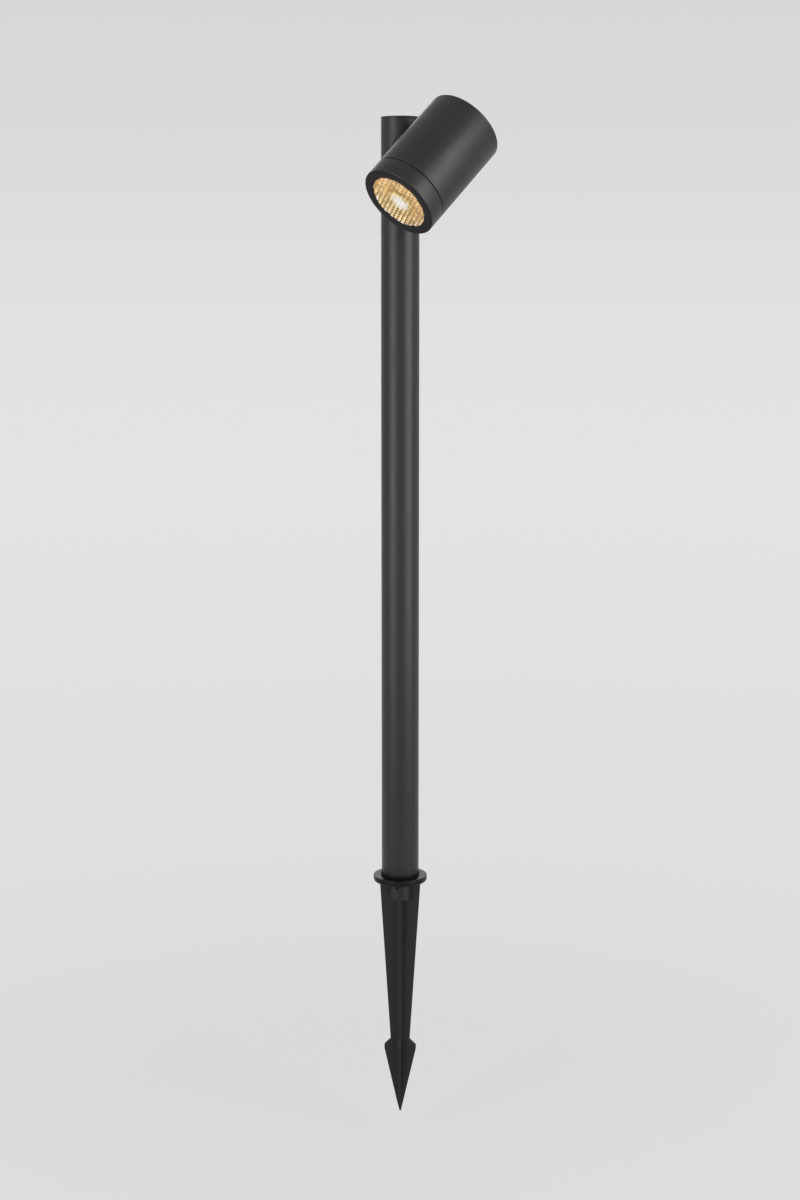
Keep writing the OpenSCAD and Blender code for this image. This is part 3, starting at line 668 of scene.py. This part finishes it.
def bare_metal(name, tone, roughness, turned_in=None):
    """Turned or brushed metal whose lines run round the Z axis of a frame."""
    nodes, shader, where = new_finish(name)
    if turned_in is not None:
        where = nodes.seen_from(turned_in, where)
    surface = nodes.group("Machined Lines", Vector=where, Color=rgba(tone), Roughness=roughness)
    shader["Metallic"].default_value = 1.0
    nodes.dress(shader, surface, 0.15, 0.02 * MM)


def lens_finish(lens):
    """Clear faceted lens that glows gold, with a white middle."""
    nodes, shader, where = new_finish("lens")
    glow = nodes.group(
        "Facet Glow", Vector=nodes.seen_from(IN_HEAD @ Matrix.Rotation(lens.rows_turn, 4, "Z"), where),
        Pitch=lens.pitch, Outer_Radius=OPENING_R,
        **{name: rgba(getattr(lens, name.lower())) for name in LENS_COLOURS},
    )
    nodes.feed(shader["Emission Color"], glow["Color"])
    shader["Emission Strength"].default_value = lens.strength
    nodes.feed(shader["Base Color"], nodes.mix(0.95, glow["Color"], (0.01, 0.007, 0.003, 1.0)))
    nodes.feed(shader["Roughness"], nodes.remap(glow["Clear"], 0.0, 1.0, 0.45, 0.25))
    shader["Specular IOR Level"].default_value = 0.12


def board(name, tone):
    """Solder mask of a circuit board, with fine tracks under it."""
    nodes, shader, where = new_finish(name)
    tracks = nodes.add("TexBrick", {
        "Vector": nodes.seen_from(IN_HEAD, where), "Scale": 90.0, "Mortar Size": 0.03, "Color1": rgba(tone),
        "Color2": rgba(c * 0.93 for c in tone), "Mortar": rgba(c * 0.75 for c in tone),
    })
    nodes.feed(shader["Base Color"], tracks.outputs["Color"])
    nodes.feed(shader["Roughness"], nodes.varied(0.28, 0.42, where, 900.0))
    nodes.bump(shader, tracks.outputs["Fac"], 0.25, 0.03 * MM)


def lead(name, tone):
    """Insulation of a stranded lead."""
    nodes, shader, where = new_finish(name)
    surface = nodes.group("Moulded Grain", Vector=where, Color=rgba(tone), Roughness=0.4, Grain=900.0)
    nodes.dress(shader, surface, 0.2, 0.04 * MM)


def phosphor_finish():
    """Yellow coating of the light chip, lit."""
    nodes, shader, where = new_finish("phosphor")
    dots = nodes.add("TexVoronoi", {"Vector": nodes.seen_from(IN_HEAD, where), "Scale": 700.0})
    apart = dots.outputs["Distance"]
    lit = nodes.mix(nodes.remap(apart, 0.1, 0.6), (1.0, 0.92, 0.72, 1.0), (0.95, 0.72, 0.3, 1.0))
    nodes.feed(shader["Emission Color"], lit)
    shader["Emission Strength"].default_value = 1.0
    shader["Base Color"].default_value = (0.9, 0.72, 0.25, 1.0)
    nodes.feed(shader["Roughness"], nodes.remap(apart, 0.0, 0.7, 0.3, 0.5))


def silicone_finish():
    """Milky silicone of the lens gasket."""
    nodes, shader, where = new_finish("silicone")
    surface = nodes.group(
        "Moulded Grain", Vector=where, Color=(0.72, 0.72, 0.68, 1.0), Roughness=0.38, Grain=1800.0
    )
    shader["Subsurface Weight"].default_value = 0.35
    shader["Subsurface Scale"].default_value = 0.6 * MM
    nodes.dress(shader, surface, 0.2, 0.02 * MM)


# Operators

class PostLightOperator:
    """What the operators share."""

    bl_options = {"REGISTER", "UNDO"}

    @property
    def settings(self):
        return bpy.context.scene.post_light


class POSTLIGHT_OT_finishes(PostLightOperator, bpy.types.Operator):
    """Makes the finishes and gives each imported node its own"""

    bl_idname = "postlight.finishes"
    bl_label = "Finishes"

    def execute(self, context):
        for make_group in (edge_wear_and_highlight_group, powder_group, moulded_group, machined_group, facet_group):
            make_group()
        tones = self.settings.finish
        coated("powder_coat", tones.coat, tones.coat_rough, tones.peel, 0.36)
        # The flange's coat is the powder coat darkened: painted shade near the ground
        coated("flange_shaded_coat", tones.flange, 0.34, tones.peel, 0.14)
        coated("face_coat", tones.coat, 0.5, tones.peel, 0.08)
        moulded("spike_plastic", tones.plastic, 0.46, 0.45 * MM, 0.04 * MM, 0.28, rub=0.3)
        moulded("black_rubber", tones.rubber, 0.6, 0.3 * MM, 0.03 * MM, 0.1)
        moulded("black_nylon", tones.nylon, 0.5, 0.35 * MM, 0.03 * MM, 0.3, rub=0.3)
        bare_metal("steel", (0.42, 0.42, 0.44), 0.32)
        bare_metal("black_steel", (0.03, 0.03, 0.031), 0.4)
        bare_metal("bare_aluminium", (0.72, 0.72, 0.74), 0.34, IN_HEAD)
        bare_metal("mirror_metal", (0.92, 0.9, 0.86), 0.1, IN_HEAD)
        bare_metal("brass", (0.7, 0.52, 0.25), 0.28, ON_PIVOT)
        lens_finish(self.settings.lens)
        phosphor_finish()
        silicone_finish()
        board("white_board", (0.8, 0.8, 0.78))
        board("green_board", (0.03, 0.12, 0.05))
        lead("red_lead", (0.45, 0.03, 0.02))
        lead("brown_lead", (0.12, 0.05, 0.025))
        for row in frame["record"]["subparts"]:
            node = frame["nodes"][row["node"]]
            node.data.materials.clear()
            node.data.materials.append(finish(row["material_slot"]))
        return {"FINISHED"}


class POSTLIGHT_OT_post(PostLightOperator, bpy.types.Operator):
    """Turns the post tube, drills it and puts its cap on"""

    bl_idname = "postlight.post"
    bl_label = "Post and cap"

    sleeve_wall = 1.6 * MM
    groove_depth = 2.05 * MM
    groove_w = 2.1 * MM
    plug_wall = 2 * MM

    def execute(self, context):
        edges = self.settings.edges
        tube = turned(
            [
                (POST_IN_R, POST_LOW, edges.tube), (POST_R, POST_LOW, edges.tube),
                (POST_R, POST_TOP, edges.tube), (POST_IN_R, POST_TOP, edges.tube),
            ],
            edges.steps, 3,
        )
        bore_r = off_axis("cable_grommet", UP * INLET_Z, -SIDE)[0]
        drill(tube, bore_r + self.sleeve_wall + SEAT_GAP, math.pi, INLET_Z, 64)
        drill(tube, TUBE_R + TURN_GAP, 0.0, PIVOT.z, 64)
        drill_screws(tube)
        hand_over(tube, "post_tube_coated", "post", "powder_coat", "post_tube")
        plug_r = POST_IN_R - SLIP_GAP
        groove_r = POST_IN_R - self.groove_depth
        inner_r = groove_r - self.plug_wall
        groove_low, groove_high = ((CAP_LOW + POST_TOP + side * self.groove_w) / 2 for side in (-1, 1))
        cap = turned(
            [
                (0.0, CAP_TOP), (POST_R, CAP_TOP, edges.cap), (POST_R, POST_TOP, 0.25 * MM),
                (plug_r, POST_TOP), (plug_r, groove_high), (groove_r, groove_high),
                (groove_r, groove_low), (plug_r, groove_low), (plug_r, CAP_LOW, 0.4 * MM),
                (inner_r, CAP_LOW, 0.3 * MM), (inner_r, POST_TOP, 0.6 * MM), (0.0, POST_TOP),
            ],
            edges.steps, 4,
        )
        hand_over(cap, "post_cap_coated", "post", "powder_coat", "post_cap")
        return {"FINISHED"}


class POSTLIGHT_OT_base(PostLightOperator, bpy.types.Operator):
    """Turns the flange and the rubber disc under the post"""

    bl_idname = "postlight.base"
    bl_label = "Base"

    groove_depth = 1.3 * MM
    groove_w = 4.6 * MM
    bore_r = 8 * MM
    bore_floor = 4 * MM

    def execute(self, context):
        edges = self.settings.edges
        spigot_r = POST_IN_R - SLIP_GAP
        groove_r = STUB_R - self.groove_depth
        groove_low, groove_high = (LOCK_Z + side * self.groove_w / 2 for side in (-1, 1))
        flange = turned(
            [
                (0.0, STUB_LOW), (STUB_R, STUB_LOW, 1.0 * MM), (STUB_R, groove_low),
                (groove_r, groove_low, 0.2 * MM), (groove_r, groove_high, 0.2 * MM), (STUB_R, groove_high),
                (STUB_R, 0.0, 0.2 * MM), (FLANGE_R, 0.0, edges.flange_low),
                (FLANGE_R, FLANGE_TOP, edges.flange_high), (spigot_r, FLANGE_TOP, 0.3 * MM),
                (spigot_r, SPIGOT_TOP, 1.0 * MM), (self.bore_r, SPIGOT_TOP, 0.3 * MM),
                (self.bore_r, self.bore_floor, 0.5 * MM), (0.0, self.bore_floor),
            ],
            edges.steps,
        )
        drill_screws(flange)
        # The flange takes the darkened coat, which is painted shade for its place near the ground
        hand_over(flange, "base_flange_coated", "post", "powder_coat", "base_flange", coat="flange_shaded_coat")
        gasket = turned(
            [
                (GASKET_IN_R, FLANGE_TOP), (GASKET_R, FLANGE_TOP, 0.5 * MM),
                (GASKET_R, POST_LOW, 0.5 * MM), (GASKET_IN_R, POST_LOW),
            ],
            edges.steps, 4,
        )
        hand_over(gasket, "base_gasket_rubber", "post", "black_rubber", "base_gasket")
        return {"FINISHED"}


class POSTLIGHT_OT_spike(PostLightOperator, bpy.types.Operator):
    """Models the ground spike from two crossed fins and a hub"""

    bl_idname = "postlight.spike"
    bl_label = "Ground spike"

    turn = math.radians(45.0)
    lock_turn = math.radians(9.0)
    fin_t = 2.4 * MM
    tip_r = 0.6 * MM
    core_r = 2.16 * MM
    # The heights where a fin's width changes, and its half-widths at these
    run, neck, barb, taper = -0.5 * MM, -136 * MM, -141 * MM, -144.5 * MM
    wide = (16.6 * MM, 7.8 * MM, 13 * MM, 13 * MM, tip_r)
    narrow = (9.2 * MM, 5.4 * MM, 8.6 * MM, 8.6 * MM, tip_r)
    hub_r = 9.25 * MM
    hub_low = -15.5 * MM
    socket_low = -14 * MM

    def fin(self, widths, spin):
        """A plate cut across at each depth, with each row of points drawn to its half-width."""
        deselect()
        bpy.ops.mesh.primitive_cube_add(size=1.0, location=CENTRE)
        piece = bpy.context.object
        height = self.run - SPIKE_TIP
        place(
            piece,
            Matrix.Translation((0.0, 0.0, self.run - height / 2))
            @ Matrix.Diagonal((2 * MM, self.fin_t, height, 1.0)),
        )
        levels = (self.run, self.neck, self.barb, self.taper, SPIKE_TIP)
        bpy.ops.object.mode_set(mode="EDIT")
        for level in levels[1:-1]:
            bpy.ops.mesh.select_all(action="SELECT")
            bpy.ops.mesh.bisect(plane_co=(0.0, 0.0, level), plane_no=UP)
        for level, width in zip(levels, widths):
            bpy.ops.mesh.select_all(action="DESELECT")
            bpy.ops.object.mode_set(mode="OBJECT")
            for vertex in piece.data.vertices:
                vertex.select = abs(vertex.co.z - level) < 0.01 * MM
            bpy.ops.object.mode_set(mode="EDIT")
            bpy.ops.transform.resize(value=(width / MM, 1.0, 1.0), center_override=(0.0, 0.0, level))
        bpy.ops.object.mode_set(mode="OBJECT")
        return place(piece, Matrix.Rotation(spin, 4, "Z"))

    def execute(self, context):
        spike = self.fin(self.wide, self.turn)
        combine(spike, self.fin(self.narrow, self.turn + math.pi / 2), "UNION")
        outer_r, point_r = 2 * self.wide[0], self.wide[2] + self.fin_t
        envelope = turned(
            [
                (0.0, SPIKE_TIP), (self.tip_r, SPIKE_TIP), (point_r, self.taper),
                (outer_r, self.taper), (outer_r, MM), (0.0, MM),
            ],
            96,
        )
        combine(spike, envelope, "INTERSECT")
        combine(spike, rod(self.core_r, self.neck, self.hub_low + MM, 32), "UNION")
        hub = turned(
            [
                (0.0, self.hub_low), (self.hub_r, self.hub_low, 0.8 * MM), (self.hub_r, 0.0, 0.3 * MM),
                (0.0, 0.0),
            ],
            96, 4,
        )
        combine(spike, hub, "UNION")
        bevel_sharp(spike, self.settings.edges.spike, 2)
        combine(spike, rod(STUB_R + TURN_GAP, self.socket_low, MM, 96), "DIFFERENCE")
        drill(spike, GRUB_HOLE_R, self.turn - math.pi / 2 - self.lock_turn, LOCK_Z)
        hand_over(spike, "ground_spike_moulded", "spike", "spike_plastic", "ground_spike")
        return {"FINISHED"}


class POSTLIGHT_OT_knuckle(PostLightOperator, bpy.types.Operator):
    """Models the saddle on the post and the friction washer"""

    bl_idname = "postlight.knuckle"
    bl_label = "Knuckle"

    pocket_r = 7.16 * MM
    pocket_depth = 2.05 * MM

    def execute(self, context):
        edges = self.settings.edges
        hole_r = TUBE_R + TURN_GAP
        pocket_x = WASHER_X - self.pocket_depth
        saddle = turned(
            [
                (SADDLE_R, 0.0), (SADDLE_R, WASHER_X, edges.knuckle * 0.6),
                (self.pocket_r, WASHER_X, 0.15 * MM), (self.pocket_r, pocket_x, 0.2 * MM),
                (hole_r, pocket_x), (hole_r, 0.0),
            ],
            edges.steps,
        )
        place(saddle, ON_PIVOT)
        hollow = rod(POST_R + SEAT_GAP, PIVOT.z - 2 * SADDLE_R, PIVOT.z + 2 * SADDLE_R, edges.steps)
        combine(saddle, hollow, "DIFFERENCE")
        hand_over(saddle, "pivot_saddle_coated", "post", "powder_coat", "pivot_saddle")
        washer = turned(
            [
                (WASHER_IN_R, WASHER_X), (WASHER_R, WASHER_X, 0.2 * MM),
                (WASHER_R, BOSS_X, 0.2 * MM), (WASHER_IN_R, BOSS_X),
            ],
            edges.steps, 3,
        )
        place(washer, ON_PIVOT)
        hand_over(washer, "friction_washer_nylon", "post", "black_nylon", "friction_washer")
        return {"FINISHED"}


class POSTLIGHT_OT_head(PostLightOperator, bpy.types.Operator):
    """Turns the head's housing with its boss, and the front ring"""

    bl_idname = "postlight.head"
    bl_label = "Head"

    ring_wall = 2 * MM
    step_w = 1.5 * MM
    plate_t = 5 * MM
    back_wall = 4 * MM
    boss_l = 12.5 * MM
    lead_way_end = -10 * MM
    root_round = 0.8 * MM

    def execute(self, context):
        edges = self.settings.edges
        ring_in_r = HEAD_R - self.ring_wall
        neck_r = ring_in_r - SLIP_GAP
        rear_bore_r = BORE_R - self.step_w
        step_z = SINK_TOP - self.plate_t
        inner_back_z = BACK_Z + self.back_wall
        housing = turned(
            [
                (0.0, BACK_Z), (HEAD_R, BACK_Z, edges.head_back), (HEAD_R, SHOULDER_Z, edges.seam),
                (neck_r, SHOULDER_Z), (neck_r, NECK_Z, 0.3 * MM), (BORE_R, NECK_Z, 0.2 * MM),
                (BORE_R, step_z), (rear_bore_r, step_z, 0.2 * MM), (rear_bore_r, inner_back_z, 1.5 * MM),
                (0.0, inner_back_z),
            ],
            edges.steps, 6,
        )
        hole_r = TUBE_R + SEAT_GAP
        boss_face = BOSS_X + SEAT_GAP - HEAD.x
        boss_root = boss_face + self.boss_l
        boss = turned(
            [
                (hole_r, boss_face, 0.2 * MM), (SADDLE_R, boss_face, edges.knuckle),
                (SADDLE_R, boss_root), (hole_r, boss_root),
            ],
            96,
        )
        place(boss, SIDEWAYS)
        through = place(rod(hole_r, boss_face - MM, self.lead_way_end, 64), SIDEWAYS)
        combine(housing, boss, "UNION")
        combine(housing, through, "DIFFERENCE")

        def at_root(spot):
            """Whether a spot lies where the boss meets the housing's outside."""
            on_boss = abs(math.hypot(spot.y, spot.z) - SADDLE_R) < 0.05 * MM
            return on_boss and boss_face + 2 * MM < spot.x < 0

        bevel_sharp(housing, self.root_round, 3, at_root)
        place(housing, IN_HEAD)
        hand_over(housing, "head_housing_coated", "head", "powder_coat", "head_housing")
        ring = turned(
            [
                (ring_in_r, SEAM_Z, 0.2 * MM), (HEAD_R, SEAM_Z, edges.seam),
                (HEAD_R, FRONT_Z, edges.ring_front), (OPENING_R, FRONT_Z, 0.3 * MM),
                (OPENING_R, LIP_Z, 0.2 * MM), (ring_in_r, LIP_Z, 0.2 * MM),
            ],
            edges.steps, 6,
        )
        place(ring, IN_HEAD)
        hand_over(ring, "front_ring_coated", "head", "powder_coat", "front_ring")
        # The face round the lens has a duller coat
        ring.data.materials.append(finish("face_coat"))
        for polygon in ring.data.polygons:
            polygon.material_index = int(polygon.normal.dot(BEAM) > 0.9)
        return {"FINISHED"}


class POSTLIGHT_OT_lens(PostLightOperator, bpy.types.Operator):
    """Models the lens, with a pillow on each facet of its honeycomb"""

    bl_idname = "postlight.lens"
    bl_label = "Lens"

    # How far the body's front lies inside the ring's opening, and the honeycomb's plate inside that
    edge_gap = 0.25 * MM
    plate_gap = 0.05 * MM
    plate_t = MM
    # How far the body's front lies below the plate's
    sink = 0.4 * MM
    # Each inset of a facet: its width and its rise, as shares of the facet's size and height
    insets = ((0.16, 0.5), (0.2, 0.32), (0.22, 0.18))

    def honeycomb(self, pitch, radius, thick, top):
        """A round plate whose top is cut into six-sided cells, in rows along X."""
        row = pitch * math.sqrt(0.75)
        across = math.ceil(radius / row) + 1
        along = math.ceil(radius / pitch + across / 2) + 1
        deselect()
        bpy.ops.mesh.primitive_circle_add(
            vertices=6, radius=pitch / math.sqrt(3.0), fill_type="NGON",
            location=(-(along + across / 2) * pitch, -across * row, top - thick),
        )
        plate = place(bpy.context.object, bpy.context.object.matrix_world.copy())
        for count, offset in ((2 * along + 1, (pitch, 0.0, 0.0)), (2 * across + 1, (pitch / 2, row, 0.0))):
            bpy.ops.object.modifier_add(type="ARRAY")
            modifier = plate.modifiers[-1]
            modifier.count = count
            modifier.use_relative_offset = False
            modifier.use_constant_offset = True
            modifier.constant_offset_displace = offset
            bpy.ops.object.modifier_apply(modifier=modifier.name)
        bpy.ops.object.mode_set(mode="EDIT")
        weld(0.01 * MM)
        bpy.ops.mesh.extrude_region_move(TRANSFORM_OT_translate={"value": (0.0, 0.0, thick)})
        bpy.ops.mesh.select_all(action="SELECT")
        face_outwards()
        return combine(plate, rod(radius, top - 2 * thick, top + thick, 120), "INTERSECT")

    def execute(self, context):
        lens = self.settings.lens
        base_z = LENS_FRONT_Z - lens.facet_h
        edge_r = OPENING_R - self.edge_gap
        facets = self.honeycomb(lens.pitch, edge_r - self.plate_gap, self.plate_t, base_z)
        for polygon in facets.data.polygons:
            polygon.select = polygon.normal.z > 0.9
        bpy.ops.object.mode_set(mode="EDIT")
        bpy.ops.mesh.select_mode(type="FACE")
        for thickness, rise in self.insets:
            bpy.ops.mesh.inset(
                thickness=thickness, depth=0.0, use_relative_offset=True, use_individual=True,
                use_even_offset=False,
            )
            bpy.ops.transform.translate(value=(0.0, 0.0, rise * lens.facet_h))
        bpy.ops.object.mode_set(mode="OBJECT")
        place(facets, Matrix.Rotation(lens.rows_turn, 4, "Z"))
        low_z = base_z - self.sink
        body = turned(
            [
                (0.0, LENS_BACK_Z), (LENS_RIM_R, LENS_BACK_Z, 0.3 * MM), (LENS_RIM_R, LIP_Z, 0.3 * MM),
                (edge_r, LIP_Z), (edge_r, low_z), (0.0, low_z),
            ],
            96, 3,
        )
        activate(facets)
        body.select_set(True)
        bpy.ops.object.join()
        place(facets, IN_HEAD)
        hand_over(facets, "front_lens_faceted", "head", "lens", "front_lens")
        return {"FINISHED"}


class POSTLIGHT_OT_stage(PostLightOperator, bpy.types.Operator):
    """Sets the floor, the lights and the camera"""

    bl_idname = "postlight.stage"
    bl_label = "Stage"

    light_aim = Vector((0.03, 0.0, 0.45))
    floor_r = 40.0
    # Grey of the floor, from the post to far away, and of the backdrop, from the horizon up
    floor_levels = (
        (0.0, 0.687), (0.104, 0.708), (0.18, 0.736), (0.27, 0.737), (0.37, 0.747), (0.48, 0.762),
        (0.605, 0.768), (0.75, 0.766), (0.92, 0.752), (1.0, 0.745),
    )
    backdrop_levels = ((0.0, 0.745), (0.026, 0.723), (0.07, 0.700), (0.12, 0.686), (1.0, 0.68))

    def execute(self, context):
        stage = self.settings.stage
        turn = stage.camera_turn
        stand = Vector((math.sin(turn), -math.cos(turn), 0.0))
        deselect()
        bpy.ops.object.camera_add(location=stand * stage.camera_distance + UP * stage.camera_height)
        camera = context.object
        camera.name = "camera"
        camera.rotation_euler = (math.pi / 2 - stage.camera_pitch, 0.0, turn + stage.camera_aim)
        camera.data.sensor_width = 36.0
        camera.data.lens = stage.focal_mm
        camera.data.clip_start = 0.01
        camera.data.clip_end = 200.0
        context.scene.camera = camera
        self.make_floor(stage)
        self.make_world(stage)
        # Each light: its turn to the right of the camera, height, distance, width, length and power
        for name, side, height, away, wide, tall, power in (
            ("light_left", -45.0, 0.5, 1.15, 0.575, 1.4, stage.left_power),
            ("light_right", 53.5, 0.5, 1.1, 0.62, 1.4, stage.right_power),
            ("light_back", 180.0, 0.95, 2.0, 2.0, 0.8, stage.back_power),
        ):
            around = turn + math.radians(side)
            spot = Vector((math.sin(around), -math.cos(around), 0.0)) * away + UP * height
            deselect()
            bpy.ops.object.light_add(type="AREA", location=spot)
            light = context.object
            light.name = name
            light.rotation_euler = (self.light_aim - spot).to_track_quat("-Z", "Y").to_euler()
            light.data.shape = "RECTANGLE"
            light.data.size = wide
            light.data.size_y = tall
            light.data.energy = power
            light.visible_camera = False
        return {"FINISHED"}

    def seen_directly(self, nodes):
        """1 for what the eye, gloss or glass sees, 0 for the light that falls on the object."""
        path = nodes.add("LightPath").outputs
        shown = nodes.math("MAXIMUM", path["Is Camera Ray"], path["Is Glossy Ray"])
        return nodes.math("MAXIMUM", shown, path["Is Transmission Ray"])

    def show(self, nodes, share_seen, lit, seen, output):
        """Shows one shader to the light and another to the eye."""
        mix = nodes.add("MixShader", {0: share_seen, 1: lit.outputs[0], 2: seen.outputs[0]})
        nodes.feed(nodes.tree.nodes[output].inputs["Surface"], mix.outputs[0])

    def tinted(self, nodes, level, stage):
        """A grey level in the backdrop's tint."""
        return nodes.mix(1.0, level, rgba(stage.backdrop), "MULTIPLY")

    def make_floor(self, stage):
        """A wide pale floor that holds the object's shadow and fades into the backdrop."""
        deselect()
        bpy.ops.mesh.primitive_circle_add(vertices=96, radius=self.floor_r, fill_type="NGON")
        floor = bpy.context.object
        floor.name = "floor"
        place(floor, Matrix.Translation((0.0, 0.0, SPIKE_TIP - stage.floor_drop)))
        nodes, shader, where = new_finish("floor")
        nodes.tree.nodes.remove(shader["Normal"].node)
        lit = nodes.add("BsdfDiffuse", {"Color": rgba(c * 0.8 for c in stage.backdrop)})
        away = nodes.vector("LENGTH", where, result="Value")
        level = nodes.ramp(nodes.math("DIVIDE", away, nodes.plus(away, 3.0)), self.floor_levels)
        seen = nodes.add("Emission", {"Color": self.tinted(nodes, level, stage)})
        # A share of the real light is kept near the post, for the object's shadow
        shaded = nodes.remap(away, 0.3, 0.9, 0.85, 1.0)
        self.show(nodes, nodes.times(self.seen_directly(nodes), shaded), lit, seen, "Material Output")
        floor.data.materials.append(finish("floor"))

    def make_world(self, stage):
        """Even light from all round, and the backdrop where the eye, gloss or glass sees it."""
        world = bpy.data.worlds.new("studio")
        bpy.context.scene.world = world
        world.use_nodes = True
        nodes = Nodes(world.node_tree)
        lit = world.node_tree.nodes["Background"]
        lit.inputs["Color"].default_value = WHITE
        lit.inputs["Strength"].default_value = stage.ambient
        split = nodes.add("SeparateXYZ", {0: nodes.add("TexCoord").outputs["Generated"]})
        level = nodes.ramp(split.outputs["Z"], self.backdrop_levels)
        seen = nodes.add("Background", {"Color": self.tinted(nodes, level, stage)})
        self.show(nodes, self.seen_directly(nodes), lit, seen, "World Output")


class POSTLIGHT_PT_panel(bpy.types.Panel):
    """Lists the steps that build the post light"""

    bl_idname = "POSTLIGHT_PT_panel"
    bl_label = "Garden Post Light"
    bl_space_type = "VIEW_3D"
    bl_region_type = "UI"
    bl_category = "Post Light"

    def draw(self, context):
        for operator in OPERATORS:
            self.layout.operator(operator.bl_idname)
        settings = context.scene.post_light
        for group in (settings.edges, settings.lens, settings.finish, settings.stage):
            box = self.layout.box()
            for name in group.bl_rna.properties.keys():
                if name not in {"rna_type", "name"}:
                    box.prop(group, name)


OPERATORS = (
    POSTLIGHT_OT_finishes,
    POSTLIGHT_OT_stage,
    POSTLIGHT_OT_post,
    POSTLIGHT_OT_base,
    POSTLIGHT_OT_spike,
    POSTLIGHT_OT_knuckle,
    POSTLIGHT_OT_head,
    POSTLIGHT_OT_lens,
)
GROUPS = (PostLightEdges, PostLightLens, PostLightFinish, PostLightStage, PostLightSettings)


def register():
    """Registers the settings, the operators and the panel."""
    for entry in (*GROUPS, *OPERATORS, POSTLIGHT_PT_panel):
        bpy.utils.register_class(entry)
    bpy.types.Scene.post_light = bpy.props.PointerProperty(type=PostLightSettings)


def unregister():
    """Takes them away again."""
    del bpy.types.Scene.post_light
    for entry in reversed((*GROUPS, *OPERATORS, POSTLIGHT_PT_panel)):
        bpy.utils.unregister_class(entry)


def main():
    """Builds everything."""
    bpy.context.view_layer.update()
    register()
    view = bpy.context.scene.view_settings
    view.view_transform = "Standard"
    for operator in OPERATORS:
        group, call = operator.bl_idname.split(".")
        getattr(getattr(bpy.ops, group), call)()


if __name__ == "__main__":
    main()
